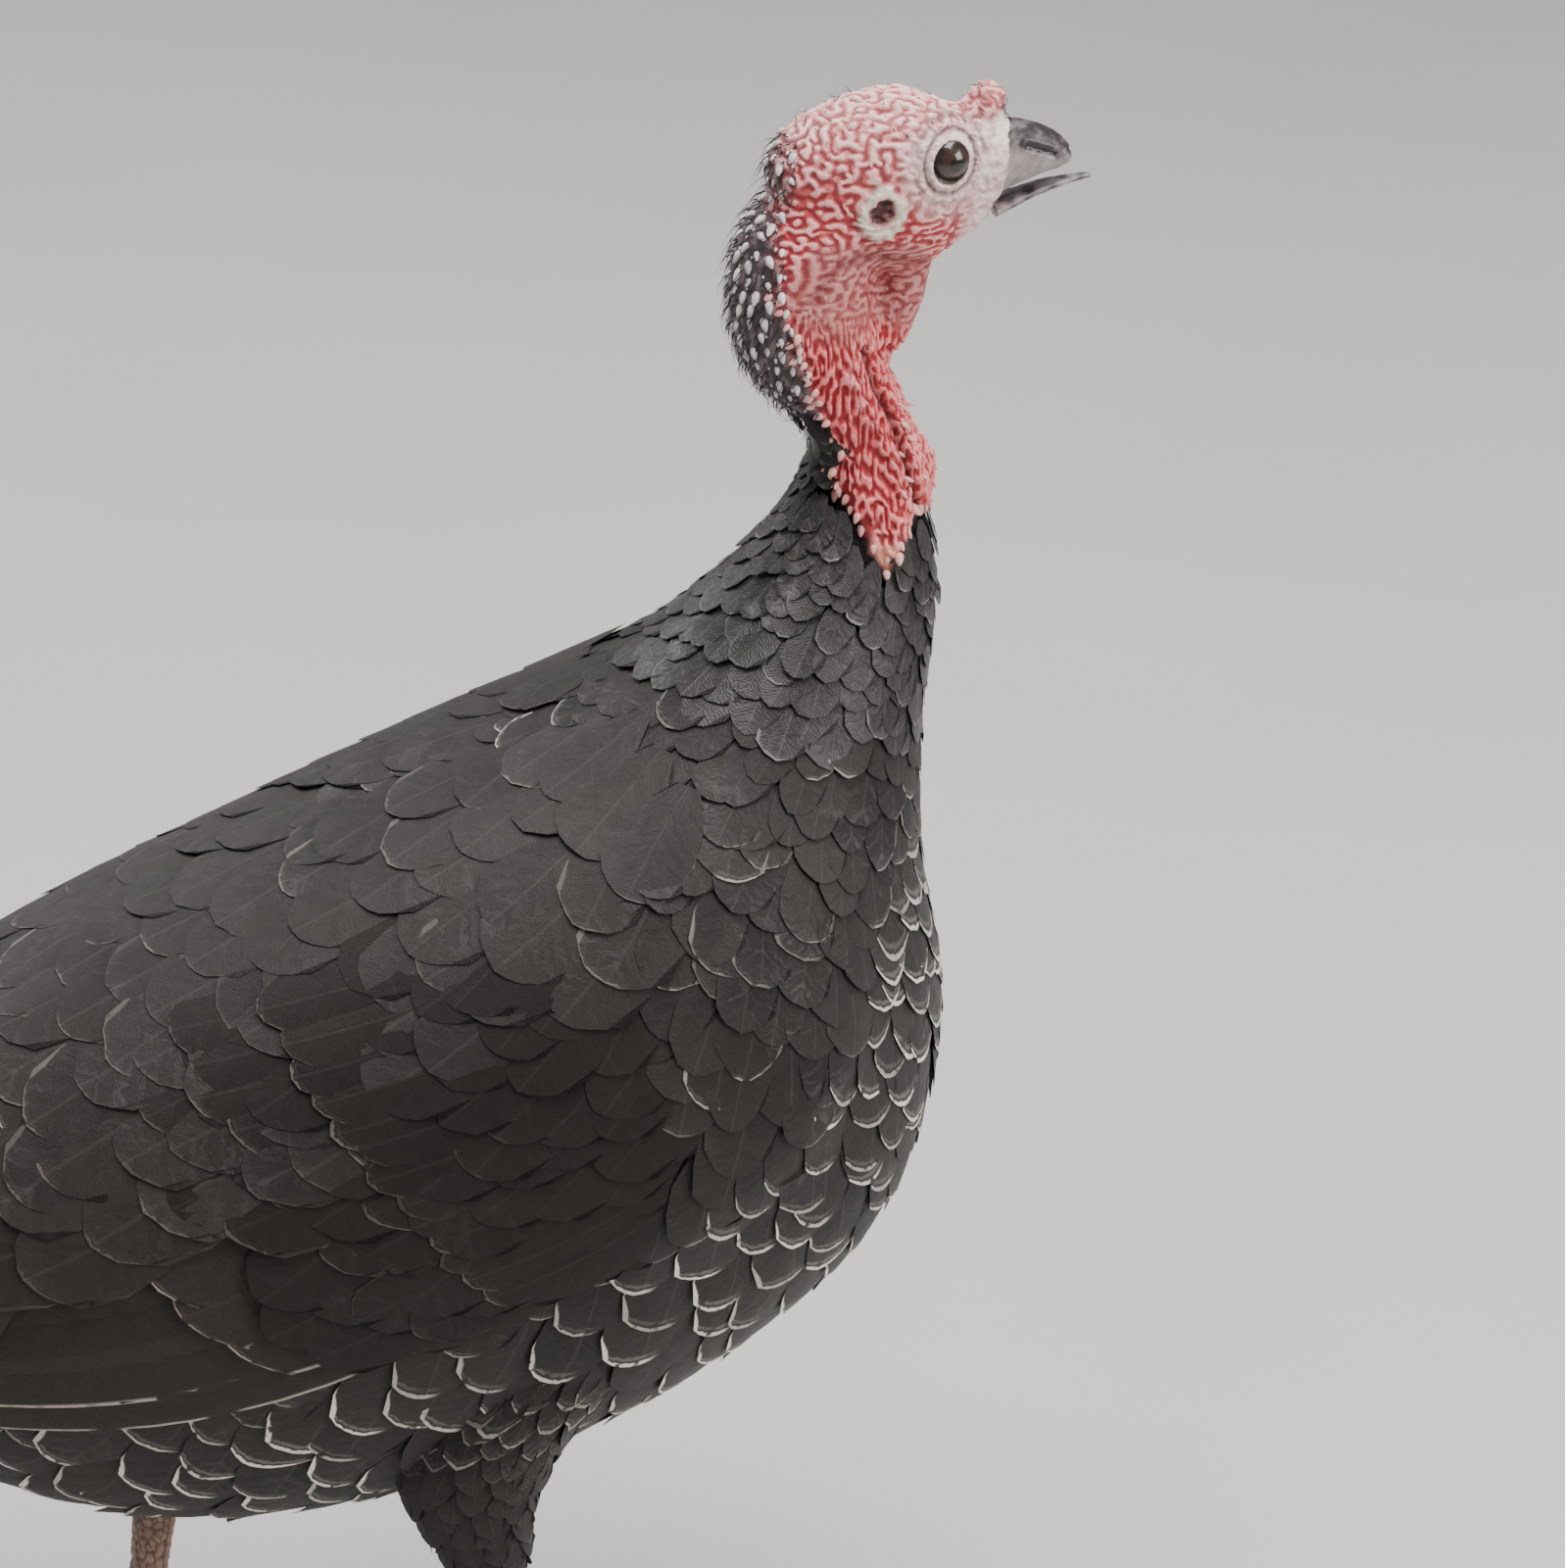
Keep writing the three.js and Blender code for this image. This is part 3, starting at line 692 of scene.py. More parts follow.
class Shade:
    """A node tree written in short calls."""

    def __init__(self, tree: bpy.types.NodeTree) -> None:
        """Keeps the tree."""
        self.tree = tree

    def add(self, kind: str, **settings: object) -> bpy.types.Node:
        """A new node with some of its settings."""
        made = self.tree.nodes.new(kind)
        for key, value in settings.items():
            setattr(made, key, value)
        return made

    def feed(self, socket: Socket, value: Value | Sequence[float]) -> None:
        """Links a socket to another, or sets its value."""
        if isinstance(value, Socket):
            self.tree.links.new(value, socket)
        elif isinstance(value, tuple) and socket.type == "RGBA" and len(value) == 3:
            socket.default_value = (*value, 1.0)
        else:
            socket.default_value = value

    def math(self, operation: str, a: Value, b: Value = 0.0, c: Value = 0.0) -> Socket:
        """The result of a sum on one to three values."""
        made = self.add("ShaderNodeMath", operation=operation)
        for socket, value in zip(made.inputs, (a, b, c)):
            self.feed(socket, value)
        return made.outputs[0]

    def mul(self, a: Value, b: Value) -> Socket:
        """The product of two values."""
        return self.math("MULTIPLY", a, b)

    def mad(self, a: Value, b: Value, c: Value) -> Socket:
        """The product of two values, and a third added to it."""
        return self.math("MULTIPLY_ADD", a, b, c)

    def most(self, a: Value, b: Value) -> Socket:
        """The larger of two values."""
        return self.math("MAXIMUM", a, b)

    def rest(self, a: Value) -> Socket:
        """What a value lacks to 1."""
        return self.math("SUBTRACT", 1.0, a)

    def step(self, value: Value, low: Value, high: Value) -> Socket:
        """A smooth step from 0 at low to 1 at high."""
        made = self.add("ShaderNodeMapRange", interpolation_type="SMOOTHSTEP")
        for socket, number in zip(made.inputs[:3], (value, low, high)):
            self.feed(socket, number)
        return made.outputs[0]

    def blend(self, share: Value, a: Value | Colour, b: Value | Colour) -> Socket:
        """A colour between a and b."""
        made = self.add("ShaderNodeMix", data_type="RGBA", clamp_factor=True)
        for socket, value in zip((0, 6, 7), (share, a, b)):
            self.feed(made.inputs[socket], value)
        return made.outputs[2]

    def mark(self, name: str) -> Socket:
        """The number that the mesh keeps under a name."""
        return self.add("ShaderNodeAttribute", attribute_type="GEOMETRY", attribute_name=name).outputs["Fac"]

    def place(self) -> Socket:
        """The place on the object."""
        return self.add("ShaderNodeTexCoord").outputs["Object"]

    def noise(self, place: Socket, per_metre: float, detail: float = 3.0) -> Socket:
        """Soft noise from 0 to 1."""
        made = self.add("ShaderNodeTexNoise")
        self.feed(made.inputs["Vector"], place)
        self.feed(made.inputs["Scale"], per_metre)
        self.feed(made.inputs["Detail"], detail)
        return made.outputs[0]

    def grain(self, per_metre: float, detail: float = 3.0) -> Socket:
        """Soft noise from 0 to 1 over the object."""
        return self.noise(self.place(), per_metre, detail)

    def cells(self, per_metre: float) -> Socket:
        """The distance to the nearest of cells scattered over the object."""
        made = self.add("ShaderNodeTexVoronoi")
        self.feed(made.inputs["Vector"], self.place())
        self.feed(made.inputs["Scale"], per_metre)
        return made.outputs["Distance"]

    def group(self, group: bpy.types.NodeTree, **values: Value) -> bpy.types.Node:
        """Places a shared effect with its own values."""
        made = self.add("ShaderNodeGroup", node_tree=group)
        for key, value in values.items():
            self.feed(made.inputs[key], value)
        return made

    def relief(self, height: Socket, distance: float, strength: float = 1.0) -> Socket:
        """A normal that shows a height, in metres."""
        made = self.add("ShaderNodeBump")
        made.inputs["Strength"].default_value = strength
        made.inputs["Distance"].default_value = distance
        self.feed(made.inputs["Height"], height)
        return made.outputs[0]


class Surface(Shade):
    """A new material, written in the same short calls."""

    def __init__(self, name: str, **constants: float | Colour) -> None:
        """Makes the material with the values that are the same all over."""
        self.material = bpy.data.materials.new(name)
        self.material.use_nodes = True
        super().__init__(self.material.node_tree)
        for key, value in constants.items():
            self.give(key.replace("_", " "), value)

    def give(self, name: str, value: Value | Colour) -> None:
        """Links or sets an input of the material's shader."""
        self.feed(self.tree.nodes["Principled BSDF"].inputs[name], value)


class Effect(Shade):
    """A shared group of nodes, with numbers going in and coming out."""

    def __init__(self, name: str, inputs: Sequence[str], outputs: Sequence[str]) -> None:
        """Makes the group with nothing between its ends."""
        super().__init__(bpy.data.node_groups.new(name, "ShaderNodeTree"))
        for way, titles in (("INPUT", inputs), ("OUTPUT", outputs)):
            for title in titles:
                self.tree.interface.new_socket(title, in_out=way, socket_type="NodeSocketFloat")
        self.given = self.add("NodeGroupInput").outputs
        self.out = self.add("NodeGroupOutput").inputs


class Effects:
    """The shared effects, each made once."""

    def __init__(self) -> None:
        """Makes them all."""
        self.vane = self._vane()
        self.mottle = self._mottle()

    def _vane(self) -> bpy.types.NodeTree:
        """A feather's barbs, its shaft and its distance from the tip, from the map called Vane."""
        outputs = ("Height", "Shaft", "Along", "Across", "Side", "Barb", "Streak")
        s = Effect("FeatherVane", ("Barbs", "Slant", "Ragged"), outputs)
        flat = s.add("ShaderNodeUVMap", uv_map="Vane")
        split = s.add("ShaderNodeSeparateXYZ")
        s.feed(split.inputs[0], flat.outputs[0])
        side = s.mad(split.outputs[0], 2.0, -1.0)
        across = s.math("ABSOLUTE", side)
        along = split.outputs[1]
        rough = s.grain(420.0, 2.0)
        phase = s.mad(across, s.given["Slant"], s.mul(along, -1.0))
        phase = s.mad(rough, 0.16, phase)
        barb = s.mad(s.math("SINE", s.mul(phase, s.given["Barbs"])), 0.5, 0.5)
        shaft = s.rest(s.step(across, 0.015, 0.06))
        ragged = s.mad(s.math("SUBTRACT", rough, 0.5), s.given["Ragged"], along)
        drawn = s.add("ShaderNodeCombineXYZ")
        s.feed(drawn.inputs[0], s.mul(s.mul(phase, s.given["Barbs"]), 0.1))
        s.feed(drawn.inputs[1], s.mul(across, 1.1))
        spread = s.add("ShaderNodeVectorMath", operation="MULTIPLY_ADD")
        s.feed(spread.inputs[0], s.place())
        spread.inputs[1].default_value = (30.0, 30.0, 30.0)
        s.feed(spread.inputs[2], drawn.outputs[0])
        streak = s.noise(spread.outputs[0], 1.0, 2.0)
        height = s.mad(streak, 3.0, s.mad(shaft, 1.6, barb))
        for title, value in zip(outputs, (height, shaft, ragged, across, side, barb, streak)):
            s.feed(s.out[title], value)
        return s.tree

    def _mottle(self) -> bpy.types.NodeTree:
        """Uneven patches in two sizes, from 0 to 1, on the object's own coordinates."""
        s = Effect("Mottle", ("Size",), ("Patch", "Fine"))
        here = s.add("ShaderNodeVectorMath", operation="SCALE")
        s.feed(here.inputs[0], s.place())
        s.feed(here.inputs["Scale"], s.math("DIVIDE", 1.0, s.given["Size"]))
        s.feed(s.out["Patch"], s.step(s.noise(here.outputs[0], 1.0, 4.0), 0.3, 0.7))
        s.feed(s.out["Fine"], s.noise(here.outputs[0], 7.0, 3.0))
        return s.tree


# ---------------------------------------------------------------- finishes


@dataclass(frozen=True)
class FeatherFinish:
    """The look of a run of feathers."""

    name: str
    dark: Colour
    brown: Colour
    # edge: the colour of the shaft, of a feather's random lighter tone, and of painted sheen towards its tip and edges
    edge: Colour
    pale: Colour
    barbs: float
    slant: float = 0.35
    ragged: float = 0.05
    roughness: float = 0.55
    rim: float = 0.0
    # glint: how strongly painted highlights, pale grey streaks near the tips, show
    glint: float = 0.5
    # lit: how strongly painted sheen lightens each feather towards its tip and edges
    lit: float = 0.14
    relief: float = 0.00008
    shine: float = 0.26

    def make(self, effects: Effects) -> Material:
        """Builds the material.

        Args:
            effects: the shared node groups.
        Returns:
            The material.
        """
        s = Surface(
            self.name,
            Sheen_Weight=0.05,
            Sheen_Roughness=0.5,
            Sheen_Tint=(0.75, 0.78, 0.85),
            Specular_IOR_Level=self.shine,
            IOR=1.45,
        )
        vane = s.group(effects.vane, Barbs=self.barbs, Slant=self.slant, Ragged=self.ragged).outputs
        mottle = s.group(effects.mottle, Size=0.035).outputs
        along, across = vane["Along"], vane["Across"]
        warm = s.mad(mottle["Patch"], 0.35, s.mul(s.mark("warm"), 0.8))
        ground = s.blend(warm, self.dark, self.brown)
        # painted sheen: lighter towards each feather's tip and edges and along streaks, on top of its random tone
        border = s.most(s.step(along, 0.6, 1.0), s.mul(s.step(across, 0.6, 1.0), 0.6))
        lit = s.mad(s.mark("tone"), 0.3, s.mul(border, self.lit))
        lit = s.mad(s.step(vane["Streak"], 0.35, 0.7), 0.16, lit)
        ground = s.blend(lit, ground, self.edge)
        ground = s.blend(s.mul(s.rest(vane["Barb"]), 0.35), ground, self.dark)
        ground = s.blend(s.mul(vane["Shaft"], 0.25), ground, self.edge)
        # painted highlights: pale grey streaks near the tips, in patches
        glint = s.mul(s.step(vane["Streak"], 0.48, 0.78), s.step(along, 0.45, 0.85))
        glint = s.mul(glint, s.step(s.grain(26.0, 3.0), 0.48, 0.62))
        ground = s.blend(s.mul(glint, self.glint), ground, (0.13, 0.123, 0.125))
        width = s.mark("width")
        start = s.rest(width)
        end = s.mad(width, -0.7, 1.0)
        tip = s.step(along, start, end)
        depth = s.math("DIVIDE", s.rest(along), width)
        inner = s.mul(s.step(depth, 1.3, 1.7), s.step(depth, 2.6, 2.0))
        breaks = s.step(s.grain(190.0, 2.0), 0.3, 0.44)
        tip = s.mad(inner, 0.15, tip)
        lean = s.mul(vane["Side"], s.mark("lean"))
        tip = s.mul(tip, s.step(lean, -0.45, -0.05))
        brink = s.mad(s.step(along, 0.4, 1.0), -0.19, 1.02)
        tip = s.most(tip, s.step(lean, brink, s.math("ADD", brink, 0.05)))
        tip = s.mul(s.mul(tip, s.mark("tip")), breaks)
        if self.rim:
            line = s.mul(s.step(across, 0.9, 0.97), s.step(s.grain(60.0, 2.0), 0.38, 0.55))
            tip = s.most(tip, s.mul(line, self.rim))
        s.give("Base Color", s.blend(tip, ground, self.pale))
        rough = s.mad(mottle["Fine"], 0.25, self.roughness - 0.12)
        s.give("Roughness", s.mad(tip, 0.15, rough))
        s.give("Normal", s.relief(vane["Height"], self.relief, 0.7))
        return s.material


@dataclass(frozen=True)
class SkinFinish:
    """Bare head and neck skin, with the dark flesh that lies under the feathers."""

    furrow: Colour = (0.50, 0.045, 0.055)
    crest: Colour = (0.84, 0.40, 0.385)
    neck_furrow: Colour = (0.53, 0.022, 0.032)
    neck_crest: Colour = (0.93, 0.30, 0.30)
    # the throat under the jaw: duller and darker, painted shade under the head
    dusk_furrow: Colour = (0.40, 0.105, 0.100)
    dusk_crest: Colour = (0.57, 0.245, 0.230)
    line: Colour = (0.17, 0.022, 0.028)
    # the dark red of painted shade in the neck's groove and folds and under the jaw
    painted_shade_red: Colour = (0.12, 0.003, 0.006)
    pale: Colour = (0.87, 0.70, 0.685)
    mauve: Colour = (0.42, 0.27, 0.29)
    nape_furrow: Colour = (0.075, 0.052, 0.058)
    nape_crest: Colour = (0.20, 0.150, 0.160)
    flesh: Colour = (0.020, 0.0175, 0.0175)
    cream: Colour = (0.80, 0.74, 0.64)
    tip: Colour = (0.86, 0.36, 0.25)

    def make(self, effects: Effects) -> Material:
        """Builds the material from the marks that the skin keeps."""
        s = Surface(
            "bare_skin",
            Subsurface_Weight=0.04,
            Subsurface_Radius=(1.0, 0.35, 0.25),
            Subsurface_Scale=0.0012,
            Coat_Weight=0.1,
            Coat_Roughness=0.35,
            IOR=1.42,
        )
        mottle = s.group(effects.mottle, Size=0.012).outputs
        grain = s.grain(700.0, 3.0)
        ridge = s.mad(s.math("SUBTRACT", grain, 0.5), 0.35, s.mark("ridge"))
        neck, dusk, nape = s.mark("neck"), s.mark("dusk"), s.mark("nape")
        furrow = s.blend(neck, self.furrow, self.neck_furrow)
        furrow = s.blend(dusk, furrow, self.dusk_furrow)
        furrow = s.blend(s.mul(s.mark("pinkness"), 0.75), furrow, self.crest)
        crest = s.blend(neck, self.crest, self.neck_crest)
        crest = s.blend(dusk, crest, self.dusk_crest)
        crest = s.blend(s.mul(s.mark("pinkness"), 0.8), crest, (0.93, 0.74, 0.71))
        line = s.mul(s.step(ridge, 0.2, 0.02), s.mad(neck, -0.35, 0.75))
        furrow = s.blend(line, furrow, self.line)
        base = s.blend(s.step(ridge, 0.28, 0.86), furrow, crest)
        base = s.blend(s.mul(mottle["Patch"], s.mad(neck, 0.3, 0.12)), base, self.neck_furrow)
        base = s.blend(s.mark("bead"), base, self.crest)
        blotch = s.step(s.grain(330.0, 4.0), 0.42, 0.66)
        pale = s.blend(s.mul(blotch, 0.75), self.pale, self.mauve)
        base = s.blend(s.mul(s.mark("pale"), 0.93), base, pale)
        # painted shade in the neck's groove and folds and under the jaw
        base = s.blend(s.mark("hollow"), base, self.painted_shade_red)
        base = s.blend(s.mark("cream"), base, self.cream)
        base = s.blend(s.mark("tip"), base, self.tip)
        dark = s.blend(s.step(ridge, 0.2, 1.0), self.nape_furrow, self.nape_crest)
        base = s.blend(nape, base, dark)
        base = s.blend(s.mark("flesh"), base, self.flesh)
        # painted shade in the creases round the eyes and in the ears' openings
        base = s.blend(s.mark("ink"), base, (0.035, 0.022, 0.022))
        s.give("Base Color", base)
        s.give("Roughness", s.mad(mottle["Fine"], 0.3, 0.32))
        height = s.mad(s.cells(1100.0), 0.5, grain)
        s.give("Normal", s.relief(height, 0.0004, 0.75))
        return s.material


@dataclass(frozen=True)
class HornFinish:
    """Bill or claw horn, streaked along its length."""

    name: str
    light: Colour
    dark: Colour
    top: float
    roughness: float = 0.36

    def make(self, effects: Effects) -> Material:
        """Builds the material; the mark called dark says where it is darker: the horn's own colour, and on the bill
        also painted shade in the nostrils.
        """
        s = Surface(self.name, Coat_Weight=0.15, Coat_Roughness=0.25, IOR=1.5)
        mottle = s.group(effects.mottle, Size=0.007).outputs
        streak = s.add("ShaderNodeMapping")
        s.feed(streak.inputs["Vector"], s.place())
        streak.inputs["Scale"].default_value = (0.25, 1.0, 1.0)
        grain = s.noise(streak.outputs[0], 1500.0, 3.0)
        share = s.mad(s.mark("dark"), self.top, s.mul(mottle["Patch"], 0.3))
        share = s.mad(s.math("SUBTRACT", grain, 0.5), 0.5, share)
        s.give("Base Color", s.blend(share, self.light, self.dark))
        s.give("Roughness", s.mad(grain, 0.25, self.roughness - 0.1))
        s.give("Normal", s.relief(s.math("ADD", grain, mottle["Fine"]), 0.00012, 0.6))
        return s.material


@dataclass(frozen=True)
class EyeFinish:
    """A wet dark brown eye."""

    pupil: Colour = (0.003, 0.003, 0.004)
    iris: Colour = (0.050, 0.022, 0.013)
    rim: Colour = (0.018, 0.010, 0.008)

    def make(self, effects: Effects) -> Material:
        """Builds the material; the mark called gaze is the angle from the middle of the pupil."""
        s = Surface("wet_eye", Coat_Weight=1.0, Coat_Roughness=0.02, IOR=1.4, Roughness=0.25)
        gaze = s.mark("gaze")
        rays = s.grain(2600.0, 2.0)
        iris = s.blend(s.step(rays, 0.35, 0.7), self.iris, self.rim)
        edge = s.mad(s.math("SUBTRACT", rays, 0.5), 2.0, gaze)
        colour = s.blend(s.step(edge, 15.5, 18.0), self.pupil, iris)
        colour = s.blend(s.step(gaze, 33.0, 41.0), colour, self.rim)
        s.give("Base Color", colour)
        return s.material


@dataclass(frozen=True)
class ScaleFinish:
    """Scaled legs, brownish pink with darker grooves."""

    light: Colour = (0.42, 0.25, 0.19)
    brown: Colour = (0.20, 0.115, 0.085)
    groove: Colour = (0.055, 0.035, 0.030)

    def make(self, effects: Effects) -> Material:
        """Builds the material; the mark called groove is 1 between the scales."""
        s = Surface("scaled_legs", Coat_Weight=0.08, Coat_Roughness=0.4, IOR=1.45)
        mottle = s.group(effects.mottle, Size=0.014).outputs
        base = s.blend(mottle["Patch"], self.light, self.brown)
        base = s.blend(s.mul(s.mark("groove"), 0.85), base, self.groove)
        base = s.blend(s.step(s.grain(900.0), 0.62, 0.75), base, (0.34, 0.27, 0.22))
        s.give("Base Color", base)
        s.give("Roughness", s.mad(mottle["Fine"], 0.3, 0.36))
        s.give("Normal", s.relief(s.grain(1400.0, 3.0), 0.0002, 0.6))
        return s.material


@dataclass(frozen=True)
class PlainFinish:
    """One small thing repeated many times, such as a bristle or a pin tip."""

    name: str
    colour: Colour
    other: Colour
    roughness: float = 0.5

    def make(self, effects: Effects) -> Material:
        """Builds the material."""
        s = Surface(self.name, IOR=1.45)
        mottle = s.group(effects.mottle, Size=0.004).outputs
        s.give("Base Color", s.blend(mottle["Patch"], self.colour, self.other))
        s.give("Roughness", s.mad(mottle["Fine"], 0.2, self.roughness - 0.1))
        return s.material


# ---------------------------------------------------------------- markings


class Markings:
    """Where the bird is bare, dark or pale, for skin and feathers alike, in the bird's millimetres."""

    # x of the red skin's rear border by z, z of its foot by x, and z below which feathers are tipped by x
    RED_EDGE = ((548, 132), (562, 128), (576, 122), (590, 117), (603, 114), (621, 114), (639, 117), (655, 119))
    RED_FOOT = ((130, 536), (136, 530), (142, 520), (148, 506), (154, 516), (161, 522), (170, 520))
    TIPPED = (
        (-260, 236), (-163, 254), (-54, 276), (25, 308), (88, 346), (116, 376), (138, 412), (152, 440), (172, 470),
    )

    def past(self, points: Array) -> tuple[Array, Array]:
        """How far each point lies before the border of the nape and above the foot of the red skin, in mm."""
        wobble = wander(points, 9.0, 11) * 2.0 + wander(points, 3.5, 12) * 1.4
        before = points[:, 0] - read(points[:, 2], self.RED_EDGE) + wobble
        return before, points[:, 2] - read(points[:, 0], self.RED_FOOT) + wobble

    def bare(self, points: Array) -> Array:
        """1 on the red skin of the head and neck, 0 on the nape and where feathers grow."""
        before, above = self.past(points)
        soft = 1.2 + 2.6 * ease(points[:, 2], 556.0, 580.0)
        return ease(before / soft, -1.0, 1.0) * ease(above, -1.0, 1.0)

    def pin_nape(self, points: Array) -> Array:
        """1 on the dark nape with its white pin tips."""
        high = ease(points[:, 2], 536.0, 548.0)
        return high * (1.0 - self.bare(points))

    def tipped(self, points: Array) -> Array:
        """How white the tips of the feathers are that are rooted at the points."""
        return ease(read(points[:, 0], self.TIPPED) - points[:, 2], -18.0, 16.0)


MARKINGS = Markings()


# ---------------------------------------------------------------- legs and tail forms


@dataclass(frozen=True)
class Toe:
    """One toe: its way in degrees from the foot's, its length, thickness, lift and claw, in mm."""

    name: str
    angle: float
    length: float
    radius: float
    lift: float
    claw: float


@dataclass(frozen=True)
class Leg:
    """One leg from the hip to the toes, in the bird's millimetres."""

    name: str
    side: int
    knee: tuple[float, float, float]
    calf: tuple[float, float, float]
    hock: tuple[float, float, float]
    foot: tuple[float, float, float]
    turn: float

    TOES = (
        Toe("hallux", 168, 27, 4.4, 6, 11),
        Toe("inner", 42, 47, 5.4, 0, 12),
        Toe("middle", 0, 62, 5.9, 0, 13),
        Toe("outer", -42, 50, 5.3, 0, 12),
    )
    THIGH = ((46, 30), (27, 22), (12, 11))  # half sizes along and across the bird, from the hip down
    # the share of the way from the hock to the foot, and the radius there
    SHANK = (
        (0, 9.5), (0.05, 10.8), (0.15, 8.4), (0.35, 6.5), (0.62, 6.2),
        (0.84, 7), (0.925, 10), (0.965, 12.4), (1, 11.6),
    )
    START = 11.0  # where a toe leaves the foot
    GAP = 0.3  # between the drumstick and the shank

    def thigh(self, u: Array, turn: Array, grow: float = 0.0) -> Array:
        """The feathered drumstick down to the hock."""
        line = Line((self.knee, self.calf, (self.hock[0], self.hock[1], self.hock[2] + self.GAP))).at(u)
        size = Line(self.THIGH).at(u) + grow
        return line + np.stack([size[:, 0] * np.cos(turn), size[:, 1] * np.sin(turn), 0 * u], 1)

    def shank(self, u: Array, turn: Array) -> Array:
        """The scaled shank down to the pad that the bird stands on."""
        sizes = Line([(radius, down) for down, radius in self.SHANK]).at(u)
        hock, foot = np.array(self.hock), np.array(self.foot)
        line = hock + (foot - hock) * sizes[:, 1:]
        return line + np.stack([1.1 * sizes[:, 0] * np.cos(turn), sizes[:, 0] * np.sin(turn), 0 * u], 1)

    def way(self, toe: Toe) -> tuple[Array, Array]:
        """The way that a toe points, and the way across it."""
        angle = math.radians(self.turn - self.side * toe.angle)
        return np.array((math.cos(angle), math.sin(angle), 0.0)), np.array((-math.sin(angle), math.cos(angle), 0.0))

    def _along(self, toe: Toe, reach: Array, across: Array, high: Array) -> Array:
        """Points out along a toe's way and across it, none of them below the floor."""
        way, aside = self.way(toe)
        points = np.array((self.foot[0], self.foot[1], 0.0)) + reach[:, None] * way + across[:, None] * aside
        points[:, 2] = np.maximum(0.0, high)
        return points

    def toe(self, toe: Toe, u: Array, turn: Array) -> Array:
        """A toe with its pads, flat under each pad."""
        taper = toe.radius * (1 - 0.32 * u)
        radius = taper * (1 - 0.1 * np.cos(5 * np.pi * u) - 0.14 * np.exp(-12 * u))
        radius = radius * (1 - 0.55 * ease(u, 0.93, 1.0))
        height = taper * 0.88 + toe.lift * (1 - u)
        reach = self.START - 5 + (toe.length + 2.5 - self.START + 5) * u
        return self._along(toe, reach, radius * np.sin(turn), height + radius * np.cos(turn))

    def claw(self, toe: Toe, u: Array, turn: Array) -> Array:
        """A claw that bends down to the floor from the end of its toe."""
        radius = 0.6 * toe.radius * (1 - u) + 0.5 * u
        height = 0.66 * toe.radius * (1 - u * u) + 0.9 * u * u + 1.4 * np.sin(np.pi * u)
        reach = toe.length - 1.5 + (toe.claw + 1.8) * u
        return self._along(toe, reach, radius * 0.72 * np.sin(turn), height + radius * np.cos(turn))


LEGS = (
    Leg("right", -1, (26, -60, 262), (-3, -61, 198), (2, -58, 145), (38, -60, 0), -4),
    Leg("left", 1, (-46, 60, 262), (-84, 60, 196), (-103, 56, 140), (-124, 60, 0), 5),
)


@dataclass(frozen=True)
class Swathe:
    """The rounded bundle of small feathers over or under the root of the tail."""

    start: Pair
    end: Pair
    half: float
    tall: float

    def _line(self, u: Array) -> tuple[Array, Array]:
        """How full the bundle is along its length, and its middle."""
        swell = np.sqrt(np.maximum(0.0, 1 - np.abs(2 * u - 1) ** 3)) + 1e-3
        return swell, np.array(self.start) + (np.array(self.end) - np.array(self.start)) * u[:, None]

    def place(self, u: Array, turn: Array, grow: float = 0.0) -> Array:
        """Points of the bundle; turn 0 is its upper side."""
        swell, middle = self._line(u)
        side, rise = (self.half + grow) * np.sin(turn) * swell, (self.tall + grow) * np.cos(turn) * swell
        return np.stack([middle[:, 0], side, middle[:, 1] + rise], 1)

    def cover(self, u: Array, turn: Array) -> Array:
        """The same bundle for its feathers to lie on: it narrows to its end but stays open."""
        swell, middle = self._line(u)
        swell = np.where(u < 0.4, swell, 1.0 + 1e-3) * (1 - 0.35 * ease(u, 0.45, 1.0))
        flat = 1 - 0.8 * ease(u, 0.35, 1.0)
        side, rise = self.half * np.sin(turn) * swell, self.tall * np.cos(turn) * swell * flat
        return np.stack([middle[:, 0], side, middle[:, 1] + rise], 1)


UPPER_COVERTS = Swathe((-180, 338), (-330, 254), 38, 9)
LOWER_COVERTS = Swathe((-168, 236), (-336, 229), 42, 27)


@dataclass(frozen=True)
class TailSheet:
    """The sheet that the tail's feathers lie in: it droops, and sags to both sides."""

    root: Pair = (-206, 306)
    droop: float = 27.0
    length: float = 286.0
    half: float = 60.0
    sag: float = 17.0
    wide: float = 1.2  # how far v = 1 lies out, in half widths

    def place(self, u: Array, v: Array) -> Array:
        """Points of the sheet for shares of its length and of its half width."""
        x, y, z = self.length * u, self.half * self.wide * v, self.sag * v * v
        angle = math.radians(180 - self.droop)
        forward = x * math.cos(angle) + z * math.sin(angle)
        rise = -x * math.sin(angle) + z * math.cos(angle)
        return np.stack([self.root[0] + forward, y, self.root[1] + rise], 1)


TAIL = TailSheet()


# ---------------------------------------------------------------- feathers


